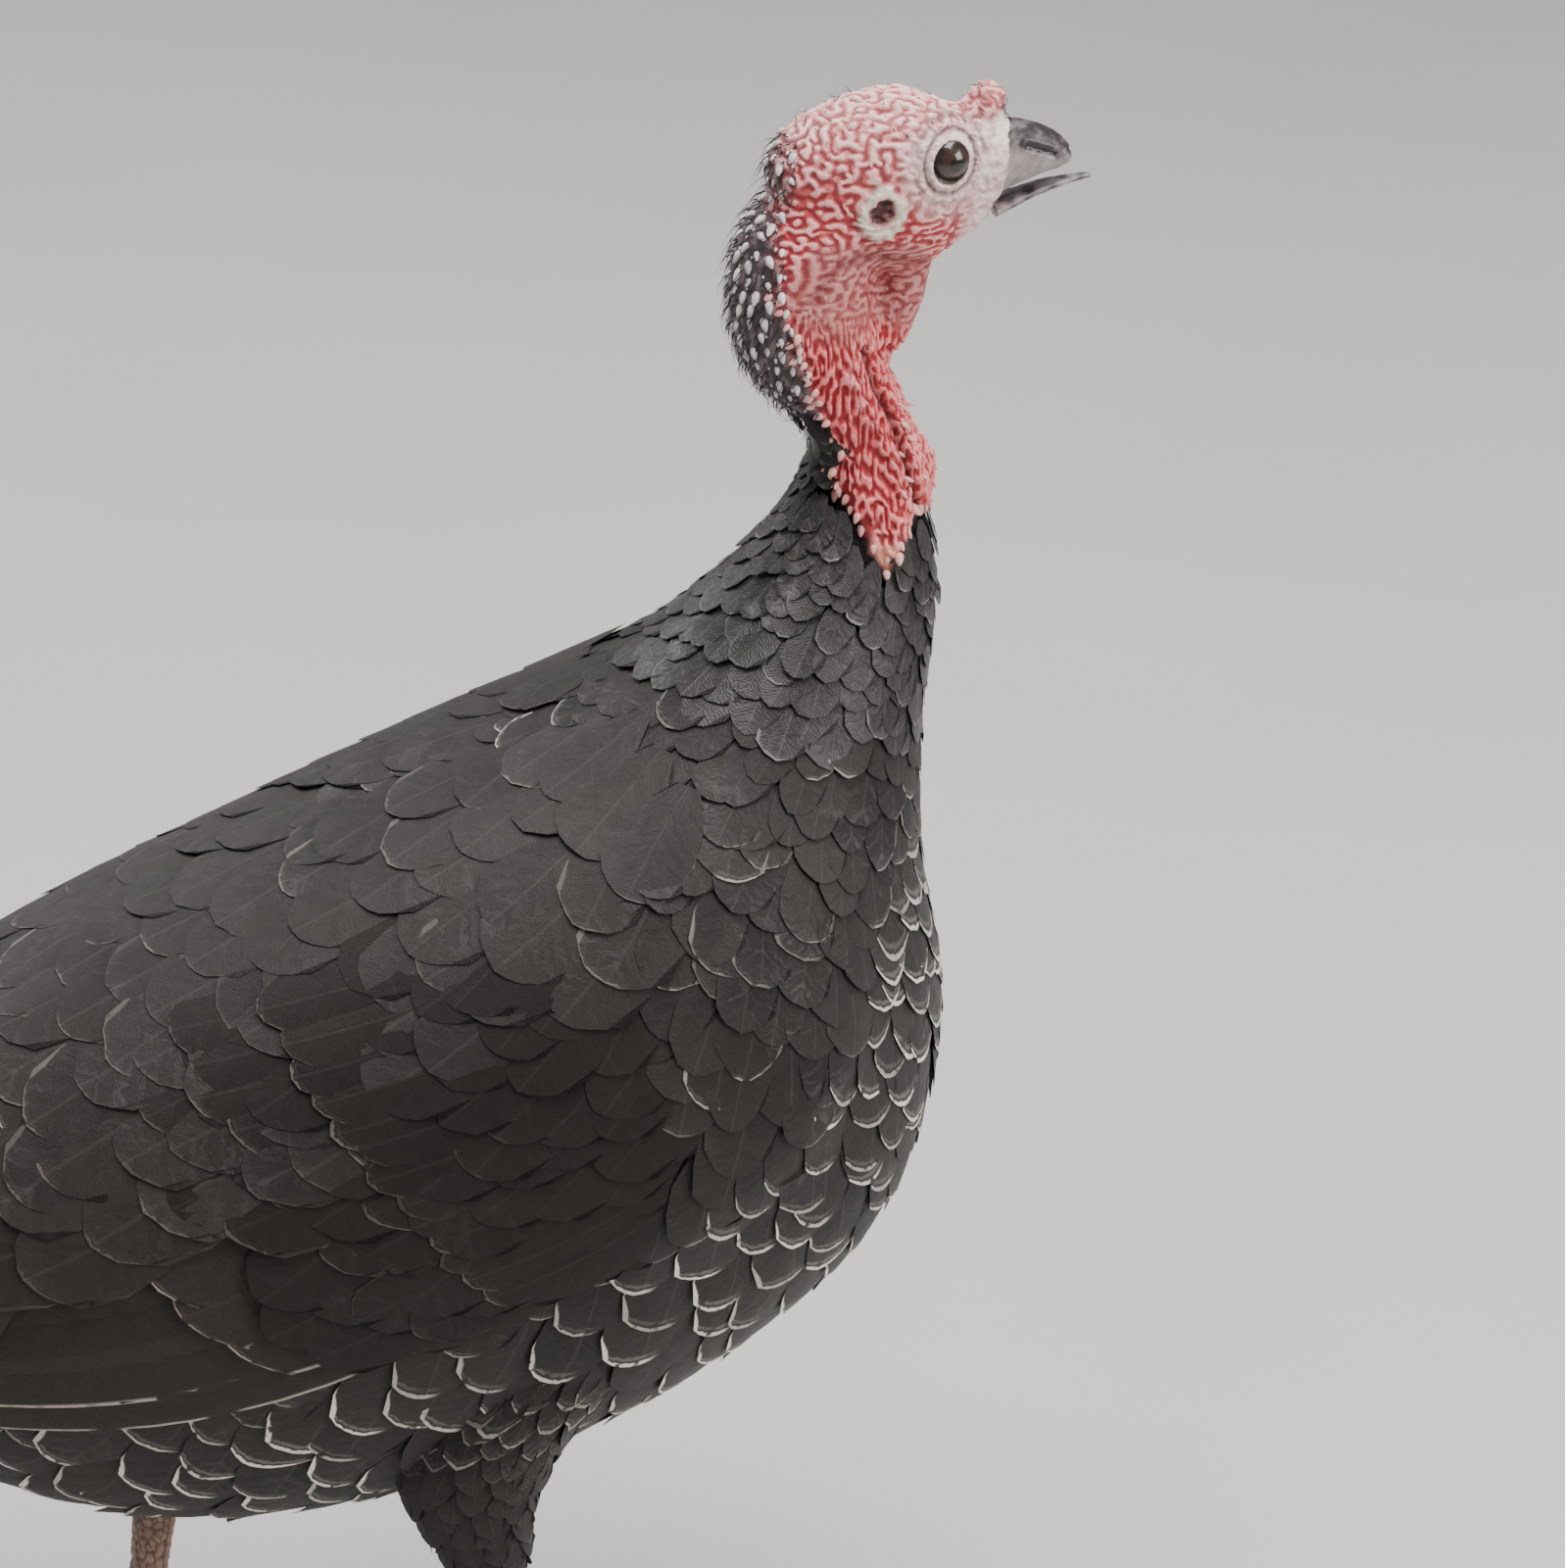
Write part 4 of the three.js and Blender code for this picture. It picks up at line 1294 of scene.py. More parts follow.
@dataclass(frozen=True)
class VaneForm:
    """The faces of one feather: a thin closed blade, a few dozen faces in all."""

    across: int = 8
    along: int = 3

    def build(self) -> tuple[Array, Array]:
        """Makes the blade from two sheets that share their border.

        Returns:
            Rows of across (-1 to 1), along (0 to 1) and lift (-1, 0 or 1), and the four corners of each face.
        """
        blade = bmesh.new()
        bmesh.ops.create_grid(blade, x_segments=self.across, y_segments=self.along, size=1.0)
        inner = [v for v in blade.verts if not v.is_boundary]
        twin = bmesh.ops.duplicate(blade, geom=blade.verts[:] + blade.edges[:] + blade.faces[:])
        under = [f for f in twin["geom"] if isinstance(f, bmesh.types.BMFace)]
        for vertex in {v for f in under for v in f.verts if not v.is_boundary}:
            vertex.co.z = -1.0
        for vertex in inner:
            vertex.co.z = 1.0
        bmesh.ops.reverse_faces(blade, faces=under)
        bmesh.ops.remove_doubles(blade, verts=blade.verts, dist=1e-4)
        blade.verts.index_update()
        corners = np.array([v.co[:] for v in blade.verts])
        corners[:, 1] = (corners[:, 1] + 1) / 2
        faces = np.array([[v.index for v in f.verts] for f in blade.faces])
        blade.free()
        return corners, faces


@dataclass
class Lie:
    """How a run of feathers lies. Each field is one number, or one for each feather; lengths in mm."""

    length: Array | float
    half: Array | float
    heading: Array | float = 0.0  # 0 runs down the form, positive turns towards a larger turn
    sink: Array | float = 5.0
    lift: Array | float = 0.5
    layer: Array | float = 0.0
    roll: Array | float = 0.0
    camber: Array | float = 0.03
    round: Array | float = 0.22
    blunt: Array | float = 2.0
    root: Array | float = 0.35
    taper: Array | float = 0.12
    thick: Array | float = 0.1
    ragged: Array | float = 0.006
    tone: Array | float = 0.3
    warm: Array | float = 0.3
    tip: Array | float = 0.0
    width: Array | float = 0.05
    lean: Array | float = 0.0  # above or below 0, the pale tip keeps to one side

    def column(self, name: str, count: int) -> Array:
        """A field as one value for each feather, standing in a column."""
        return np.broadcast_to(np.asarray(getattr(self, name), float), (count,))[:, None]


class Dice:
    """Draws one number for each feather of a run, from a stream that a whole coat shares."""

    def __init__(self, rng: np.random.Generator, number: int) -> None:
        """Keeps the stream and the number of feathers."""
        self.rng, self.number = rng, number

    def about(self, middle: float, spread: float) -> Array:
        """Numbers scattered about a middle."""
        return self.rng.normal(middle, spread, self.number)

    def share(self, middle: float, spread: float, more: Array | float = 0.0) -> Array:
        """Numbers scattered about a middle, with more added, and kept from 0 to 1."""
        return np.clip(self.about(middle, spread) + more, 0, 1)

    def between(self, low: float, high: float) -> Array:
        """Numbers spread evenly between two others."""
        return self.rng.uniform(low, high, self.number)

    def chance(self, odds: float) -> Array:
        """True for some of the run, at the odds given."""
        return self.rng.random(self.number) < odds

    def side(self) -> Array:
        """-1 or 1."""
        return self.rng.choice((-1.0, 1.0), self.number)


@dataclass
class Bundle:
    """Feathers gathered until they become a piece."""

    points: list[Array] = field(default_factory=list)
    faces: list[Array] = field(default_factory=list)
    vane: list[Array] = field(default_factory=list)
    bake: list[Array] = field(default_factory=list)
    marks: list[Array] = field(default_factory=list)
    border: list[Array] = field(default_factory=list)
    count: int = 0

    MARKS = ("tone", "warm", "tip", "width", "lean")
    BAKE_REACH, BAKE_START = 0.985, 0.005  # the part of the bake's map that roots lie in
    BAKE_SIZE = (0.0014, 0.0028)  # a feather's half width and length in that map

    def lay(self, hide: Hide, spots: Array, lie: Lie, form: VaneForm, seed: int) -> "Bundle":
        """Lays feathers on a surface.

        Args:
            hide: the surface.
            spots: the (u, turn) place of each root.
            lie: how they lie.
            form: the blade that each one is.
            seed: which ragged edges.
        Returns:
            This bundle.
        """
        number = len(spots)
        blade, quads = form.build()
        a, b, lift = (blade[None, :, k] for k in range(3))

        def get(name: str) -> Array:
            """A field of the lie, one row for each feather."""
            return lie.column(name, number)

        length, half, heading = get("length"), get("half"), get("heading")
        wide = get("root") + (1 - get("root")) * ease(b, 0.0, 0.45)
        wide = wide * (1 - get("taper") * ease(b, 0.6, 1.0))
        rng = np.random.default_rng(seed)
        border = lift == 0
        jag = rng.normal(0.0, 1.0, (number, a.shape[1])) * get("ragged") * border * (b > 0.3)
        x = a * half * wide * (1 + 0.5 * jag * (np.abs(a) > 0.9))
        y = length * (b - get("round") * np.abs(a) ** 2 * b ** get("blunt") + jag * (b > 0.99))
        rise = -get("sink") * (1 - b) ** 1.1 + get("layer") + get("lift") * b**2
        rise = rise + get("roll") * a * half * b - get("camber") * half * a**2 * ease(b, 0.0, 0.3)
        rise = rise + lift * get("thick") * (1 - 0.6 * b)
        u0, v0 = spots[:, :1], spots[:, 1:]
        cos, sin = np.cos(heading), np.sin(heading)
        near = hide.spread(u0, v0)
        middle = hide.spread(u0 + 0.5 * length * cos / near[..., 0], v0 + 0.5 * length * sin / near[..., 1])
        scale = (near + 2 * middle) / 3
        u = u0 + (y * cos - x * sin) / scale[..., 0]
        v = v0 + (y * sin + x * cos) / scale[..., 1]
        places, normals = hide.sample(u, v)
        points = (places + normals * rise[..., None]).reshape(-1, 3)
        faces = (quads[None] + (np.arange(number) * a.shape[1])[:, None, None]).reshape(-1, 4)
        corner = points[faces]
        volume = np.einsum("ij,ij->i", corner[:, 0], np.cross(corner[:, 1], corner[:, 2])).sum()
        volume += np.einsum("ij,ij->i", corner[:, 0], np.cross(corner[:, 2], corner[:, 3])).sum()
        if volume < 0:
            faces = faces[:, ::-1]
        self.points.append(points)
        self.border.append(np.tile(border[0], number))
        self.faces.append(faces + self.count)
        self.count += len(points)
        shape = (number, a.shape[1])
        flat = np.stack([np.broadcast_to(a * 0.5 + 0.5, shape), np.broadcast_to(b, shape)], 2)
        self.vane.append(flat.reshape(-1, 2))
        turn = (v0 - hide.turns[0]) / (hide.turns[1] - hide.turns[0]) % 1.0
        home = [k * self.BAKE_REACH + self.BAKE_START for k in (turn, np.clip(u0, 0, 1))]
        home = np.stack([home[0] + a * self.BAKE_SIZE[0], home[1] + b**2.5 * self.BAKE_SIZE[1]], 2)
        self.bake.append(home.reshape(-1, 2))
        self.marks.append(np.stack([np.broadcast_to(get(mark), shape).ravel() for mark in self.MARKS], 1))
        return self

    def piece(self, name: str, material: Material, slot: Slot, nodes: Sequence[str] = ()) -> Object:
        """The feathers gathered so far as one dressed piece."""
        marks = np.concatenate(self.marks)
        mesh = array_mesh(
            name,
            np.concatenate(self.points),
            np.concatenate(self.faces),
            {"Vane": np.concatenate(self.vane), "OFBake": np.concatenate(self.bake)},
            {title: marks[:, k] for k, title in enumerate(self.MARKS)},
            np.concatenate(self.border),
        )
        return finished(added(name, mesh), material, slot, nodes)


Spacing = Callable[[Array, Array, Array], Array]


def scattered(hide: Hide, spacing: Spacing, tries: int, seed: int, reach: Pair = (0.0, 1.0)) -> Array:
    """Places spread evenly over a surface.

    Args:
        hide: the surface.
        spacing: the distance between neighbours in mm for points, u and turn; 0 or less keeps a place empty.
        tries: how many places are tried.
        seed: which scatter.
        reach: the part of the surface's length that is used.
    Returns:
        Rows of u and turn.
    """
    rng = np.random.default_rng(seed)
    u = rng.uniform(*reach, tries)
    turn = rng.uniform(*hide.turns, tries)
    area = hide.spread(u, turn).prod(axis=1)
    kept = rng.random(tries) < area / area.max()
    u, turn = u[kept], turn[kept]
    points, _ = hide.sample(u, turn)
    gap = spacing(points, u, turn)
    some = gap > 0
    u, turn, points, gap = u[some], turn[some], points[some], gap[some]
    chosen = spaced(points, gap, range(len(points)))
    return np.stack([u[chosen], turn[chosen]], 1)


# ---------------------------------------------------------------- skin


@dataclass
class Skin:
    """The one skin: bare head and neck, and the flesh under the feathers."""

    depth: float = 6.0  # how far the flesh lies under the outside of the feathers
    voxel: float = 2.46
    opening: Pair = (5.7, 6.6)  # half sizes of the eye's opening, across and along its lean
    lean: float = 14.0
    ear: tuple[float, float, float] = (147.6, 19.0, 628.0)
    fleshy: tuple[Lump, ...] = (
        Lump(156.5, 591, 0, 8.4, 8, 22, -22),
        Lump(184.6, 655, 0, 7.2, 5.6, 5.2),
        Lump(186, 659.4, 0, 6.8, 5.6, 4.9),
        Lump(153, 511, -20.5, 4.6, 4.2, 12, -6),
        Lump(153, 511, 20.5, 4.6, 4.2, 12, -6),
        Lump(165.6, 529, 0, 4.6, 5.4, 13, -6),
    )
    MEAN = 6.1  # half the opening's mean size
    FAR = 30.0  # given for the distance from an eye along the bird's middle
    THINNED = 0.86  # the share of the hidden flesh's points that goes
    # how far the skin stands out, in mm, by the distance from the eye's opening or the ear's middle
    LIDS = (
        (-7, -1.6), (-1.2, -1.6), (-0.25, -0.9), (0.3, 1.5), (0.9, 1.9), (1.7, 1.5), (2.5, 0.4),
        (3.2, -0.6), (4, 0.2), (5.2, 0.9), (6.2, 0.1), (7, -0.35), (8.8, 0),
    )
    EAR_RIMS = (
        (0, -1.4), (2.6, -1.6), (3.4, -1), (4.3, 0.6), (6, 1.3), (7.6, 1), (8.8, -0.6), (10, -0.3), (12, 0),
    )
    GAPE = ((196, 627), (188, 624.5), (181, 620), (176, 616))
    JAW = ((124, 600), (133, 611), (146, 612), (158, 608), (168, 605))
    FURROW = ((143, 581), (147, 567), (152.5, 556), (156, 546), (159, 536), (162, 524), (164, 512))
    ROPE = ((136, 575), (141, 564), (146.5, 553), (151, 543), (154.5, 533))
    BRIGHT = ((143, 515), (157, 515), (156, 500), (142, 498))
    DUSK = ((127, 616), (160, 612), (166, 600), (160, 586), (146, 592), (136, 586), (123, 592), (119, 602))
    nodes: tuple[str, ...] = (
        "head", "neck_upper", "neck_lower", "dewlap", "caruncle_right", "caruncle_left", "caruncle_front",
        "snood", "ear_right", "ear_left", "breast", "trunk", "rump", "thigh_right", "thigh_left",
    )

    def _sunk(self, u: Array, turn: Array) -> Array:
        """The body's form, sunk by the coat's depth where feathers grow."""
        outer = BODY.place(u, turn)
        bare = np.maximum(MARKINGS.bare(outer), ease(outer[:, 2], 545, 575))
        sunk = BODY.place(u, turn, -self.depth)
        return outer + (sunk - outer) * (1 - bare)[:, None]

    def _shapes(self) -> list[BMesh]:
        """Everything that the skin covers, as closed overlapping forms."""
        shapes = [rolled(self._sunk, 150, 72), rolled(HEAD.place, 60, 48)]
        shapes += [rolled(lump.place, 14, 20) for lump in self.fleshy]
        shapes += [rolled(lambda u, t, leg=leg: leg.thigh(u, t, -4.0), 24, 28) for leg in LEGS]
        reach = ((UPPER_COVERTS, 0.6), (LOWER_COVERTS, 1.0))
        shapes += [rolled(lambda u, t, c=c, n=n: c.place(n * u, t, -5.0), 24, 24) for c, n in reach]
        return shapes

    def _eyes(self, points: Array) -> tuple[Array, Array]:
        """How far each point is outside the edge of an eye's opening, and how far up its lean, in mm."""
        lean = math.radians(self.lean)
        x, z = points[:, 0] - EYE_STATION[0], points[:, 2] - EYE_STATION[1]
        across = x * math.cos(lean) - z * math.sin(lean)
        up = x * math.sin(lean) + z * math.cos(lean)
        out = np.hypot(across / self.opening[0], up / self.opening[1])
        return np.where(np.abs(points[:, 1]) > 5.0, (out - 1.0) * self.MEAN, self.FAR), up

    def _face(self, points: Array) -> tuple[Array, dict[str, Array]]:
        """Lids, ear rims and the gape: how far they stand out sideways, and their marks."""
        edge, up = self._eyes(points)
        out = read(edge, self.LIDS)
        out += 0.6 * bump(edge, 4.8, 2.6) * ease(up, 1.0, 6.0)
        out += 0.35 * bump(edge, 9.0, 4.0) * wander(points, 1.9, 33)
        ear = np.hypot(points[:, 0] - self.ear[0], (points[:, 2] - self.ear[2]) * 0.86)
        ear = ear + 0.9 * wander(points, 4.0, 31) + 0.5 * wander(points, 1.5, 32)
        near_ear = np.abs(points[:, 1]) > 8.0
        out += read(ear, self.EAR_RIMS) * near_ear
        spot, fore, high = points[:, [0, 2]], points[:, 0], points[:, 2]
        gape = beside(spot, self.GAPE)
        out -= 0.9 * bump(gape, 0.0, 1.6)
        out += 0.5 * bump(gape, 2.6, 1.6)
        jaw = beside(spot, self.JAW)
        out -= bump(jaw, 0.0, 3.0) * (high < 625)
        pale = bump(edge, 1.5, 13.0) ** 0.8
        pale = np.maximum(pale, ease(fore, 171.0, 183.0) * ease(high, 607.0, 615.0))
        pale = pale * (1.0 - 0.85 * ease(high, 650.0, 655.0)) * (1 - 0.75 * bump(jaw, 2.0, 7.0))
        # painted shade: near-black in the creases round each eye, thickest above it, and in each ear's sunken opening
        ink = bump(edge, 3.3, 1.2) * 0.62 + bump(edge, 0.0, 0.6) * 0.9
        uneven = 0.86 + 0.25 * wander(points * (1, 1, 0.3), 1.2, 34)
        ink = np.maximum(ink, (1 - ease(ear, 3.2, 4.6)) * near_ear * uneven)
        ink = np.maximum(ink, 0.6 * bump(edge, 6.9, 1.7) * ease(up, 2.0, 7.0))
        cream = bump(ear, 6.2, 3.3) * near_ear * 0.92
        cere = ease(fore, 186.5, 189.5) * ease(high, 640.0, 644.0) * (1 - ease(high, 652, 655))
        cream = np.maximum(cream, cere)
        return out, {"pale": pale, "ink": ink, "cream": cream, "jaw": bump(jaw, 0.0, 3.4) * (high < 625)}

    def _texture(self, mesh: Mesh, points: Array) -> tuple[Array, dict[str, Array]]:
        """Winding ridges, folds and beads along the normal, and their marks."""
        edge, _ = self._eyes(points)
        side, high = points[:, [0, 2]], points[:, 2]
        bare = MARKINGS.bare(points)
        neck = 1.0 - ease(high + 0.35 * (points[:, 0] - 130), 586.0, 602.0)
        face = bump(edge, 0.0, 15.0)
        # the throat under the jaw: smoother relief, and painted shade under the head in its colours
        dusk = inside(side, self.DUSK) * 1.0
        dusk = np.maximum(dusk, 1 - ease(beside(side, self.DUSK + self.DUSK[:1]), 0.0, 6.0))
        dusk *= 1 - ease(high + 2 * wander(points, 8.0, 62), 616, 622)
        slope = np.radians(np.interp(high, (612, 640), (2.0, 38.0)))
        scalp_way = np.stack([np.cos(slope), 0 * slope, -np.sin(slope)], 1)
        scalp = labyrinth(mesh, scalp_way, 2.4, 5, 17, 51)
        neck_way = np.tile((0.295, 0.0, -0.955), (len(points), 1))
        folds = labyrinth(mesh, neck_way, 13.0, 5, 24, 52)
        ridge = scalp + (folds - scalp) * neck
        ridge = ridge * (1 - 0.6 * ease(wander(points, 3.2, 55), 0.05, 0.5) * (1 - 0.5 * neck))
        groove = stroke(side, self.FURROW, 2.4) * (np.abs(points[:, 1]) > 4)
        rope = stroke(side, self.ROPE, 3.2) * (np.abs(points[:, 1]) > 5)
        first, _, number = cells(points + 0.8 * wander(points, 6.0, 45)[:, None], 3.4, 52)
        beads = (1 - ease(first, 0.15, 0.62)) * (0.5 + 0.5 * number)
        foot = ease(-high, -530.0, -508.0) * neck
        top = ease(high, 648, 658) * (1 - face)
        tall = 0.85 * (1 - neck) * (1 - 0.65 * face) + 1.45 * neck * (1 - 0.5 * dusk)
        tall = tall * (1 - 0.6 * dusk * (1 - neck))
        out = tall * (ridge - 0.35) + 0.9 * top * wander(points * (0.3, 1, 1), 4.5, 72)
        out += neck * (1.0 * rope + 0.8 * beads * (rope + foot)) - 2.6 * groove * neck
        out += 0.5 * wander(points * (1, 1, 0.5), 7.0, 71) * neck
        snood = ease(points[:, 0], 175.0, 180.0) * ease(high, 650.0, 654.5)
        nape = 1 - bare
        out = out * bare + nape * (0.5 * ridge)
        pinkness = ease(high, 628, 662) * 0.9 + 0.3 * face + 0.25 * bump(high, 508, 14) * neck
        marks = {
            "ridge": ridge,
            "neck": neck,
            "dusk": dusk * (1 - 0.5 * face),
            "bead": np.clip(0.85 * beads * (rope + foot) * neck, 0, 1),
            # painted shade down the neck's long groove and in the bottoms of its folds
            "hollow": np.clip(groove * neck * 0.9 + 0.55 * neck * (1 - ridge) ** 3, 0, 1),
            "pinkness": np.clip(pinkness, 0, 1) * (1 - 0.75 * snood),
        }
        return out, marks

    def build(self, effects: Effects) -> Object:
        """Grows, shapes and dresses the skin.

        Args:
            effects: the shared node groups.
        Returns:
            The skin.
        """
        piece = united("skin", self._shapes(), self.voxel)
        mesh = piece.data
        relaxed(mesh, 2)
        points, _ = corners_of(mesh)
        plain = np.flatnonzero(self._detail(points) < 0.5)
        piece.vertex_groups.new(name="plain").add(plain.tolist(), 1.0, "REPLACE")
        thin = piece.modifiers.new("thin", "DECIMATE")
        thin.ratio = 1.0 - self.THINNED * len(plain) / len(points)
        thin.vertex_group = "plain"
        settled(piece)
        mesh = piece.data
        for bare_only in (False, True):
            divided(mesh, self._detail(corners_of(mesh)[0], bare_only) > 0.5)
            relaxed(mesh, 3, 0.5, self._detail(corners_of(mesh)[0]))
        points, _ = corners_of(mesh)
        edge, _ = self._eyes(points)
        divided(mesh, edge < 5.5)
        points, _ = corners_of(mesh)
        relaxed(mesh, 14, 0.6, ease(points[:, 0], 185.5, 189.5) * (points[:, 2] > 612))
        self._shape(mesh)
        smooth_shaded(mesh)
        return finished(piece, SkinFinish().make(effects), Slot.RED, self.nodes)

    def _detail(self, points: Array, bare_only: bool = False) -> Array:
        """1 where the skin shows and is divided, or only where it is bare."""
        bare = MARKINGS.bare(points - (2.5, 0, 0)) > 0.02
        shows = bare if bare_only else bare | (points[:, 2] > 542)
        return ((points[:, 0] > 60) & (points[:, 2] > 496) & shows) * 1.0

    def _shape(self, mesh: Mesh) -> None:
        """Moves the skin's points into their relief and keeps its marks."""
        points, normals = corners_of(mesh)
        along, marks = self._texture(mesh, points)
        aside, face = self._face(points)
        bare = MARKINGS.bare(points)
        nape = MARKINGS.pin_nape(points)
        marks |= {"pale": face["pale"] * bare, "cream": face["cream"] * bare, "ink": face["ink"] * bare}
        # painted shade under the jaw
        marks["hollow"] = marks["hollow"] + 0.45 * face["jaw"]
        marks["tip"] = inside(points[:, [0, 2]], self.BRIGHT) * bare * 0.8
        marks["nape"] = nape
        marks["flesh"] = (1 - bare) * (1 - nape)
        shift = normals * (along * (1 - 0.8 * ease(points[:, 0], 184.0, 189.0)))[:, None]
        shift[:, 1] += np.sign(points[:, 1]) * aside * bare
        move_corners(mesh, points + shift)
        for title, values in marks.items():
            numbered(mesh, title, np.clip(values, 0, 1))


@dataclass
class Eyes:
    """Two wet eyes, each a ball whose pole is the middle of its pupil."""

    inset: float = 9.4
    radius: float = 8.4
    toe: float = 12.0  # how far each eye turns forward, in degrees

    def build(self, effects: Effects) -> list[Object]:
        """Makes and dresses both eyes."""
        finish = EyeFinish().make(effects)
        made = []
        for name, side in SIDES:
            ball = bmesh.new()
            bmesh.ops.create_uvsphere(ball, u_segments=56, v_segments=40, radius=self.radius)
            polar = np.array([math.degrees(v.co.angle(Vector((0, 0, 1)), 0.0)) for v in ball.verts])
            toe = math.radians(self.toe)
            gaze = Vector((math.sin(toe), side * math.cos(toe), 0.0))
            turn = Vector((0, 0, 1)).rotation_difference(gaze)
            for vertex, angle in zip(ball.verts, polar):
                swell = 1.0 + 0.035 * float(ease(np.array(-angle), -40.0, -10.0))
                place = turn @ (vertex.co * swell) + Vector((EYE_STATION[0], side * self.inset, EYE_STATION[1]))
                vertex.co = Vector(to_frame(np.array(place)[None])[0])
            bmesh.ops.recalc_face_normals(ball, faces=ball.faces)
            mesh = mesh_of("eyeball_" + name, [ball])
            numbered(mesh, "gaze", polar)
            smooth_shaded(mesh)
            made.append(finished(added("eyeball_" + name, mesh), finish, Slot.EYE, ("eye_" + name,)))
        return made


@dataclass
class Bill:
    """The horn of the bill: a short upper half, and a lower half that reaches past it."""

    NOSTRIL = ((198.0, 643.2), (207.5, 639.3))
    LIP = ((186, 627.5), (199, 631.5), (212, 635.5))
    LIP_SHADE = ((188, 626), (201, 630.5), (212, 634.5))

    def _dress(self, name: str, form: Loft, node: str, finish: Material, upper: bool) -> Object:
        """One half of the bill."""
        piece = shaped_piece(name, [rolled(form.place, 70, 64)])
        mesh = piece.data
        points, normals = corners_of(mesh)
        out = 0.12 * wander(points * (0.4, 1, 1), 1.6, 91)
        if upper:
            spot = points[:, [0, 2]]
            slit = beside(spot, self.NOSTRIL)
            side = ease(np.abs(points[:, 1]), 1.2, 2.6)
            out += (-1.5 * bump(slit, 0.0, 1.1) + 0.45 * bump(slit, 1.9, 1.3)) * side
            out += 0.5 * bump(points[:, 1], 0.0, 2.2) * (points[:, 2] > 640)
            out += 0.35 * stroke(spot, self.LIP, 1.2)
            dark = ease(points[:, 2] - np.interp(points[:, 0], (190, 214), (641, 634)), 0.0, 6.0)
            # darker over the top of the upper bill, its own colour; the nostril's slit is darkened as painted shade
            dark = np.maximum(dark * 0.9, 1.3 * bump(slit, 0.0, 1.6) * side)
            dark = np.maximum(dark, 0.8 * stroke(spot, self.LIP_SHADE, 1.3))
        else:
            out += 0.3 * bump(points[:, 1], 0.0, 1.6)
            dark = 0.55 + 0.5 * wander(points, 5.0, 92)
        move_corners(mesh, points + normals * out[:, None])
        numbered(mesh, "dark", np.clip(dark + 0.3 * wander(points, 3.0, 93), 0, 1.3))
        smooth_shaded(mesh)
        return finished(piece, finish, Slot.BILL, (node,))

    def build(self, effects: Effects) -> list[Object]:
        """Makes and dresses both halves."""
        finish = HornFinish("bill_horn", (0.40, 0.34, 0.345), (0.030, 0.022, 0.024), 0.95, 0.34).make(effects)
        return [
            self._dress("bill_upper_horn", UPPER_BILL, "bill_upper", finish, True),
            self._dress("bill_lower_horn", LOWER_BILL, "bill_lower", finish, False),
        ]


# ---------------------------------------------------------------- plumage


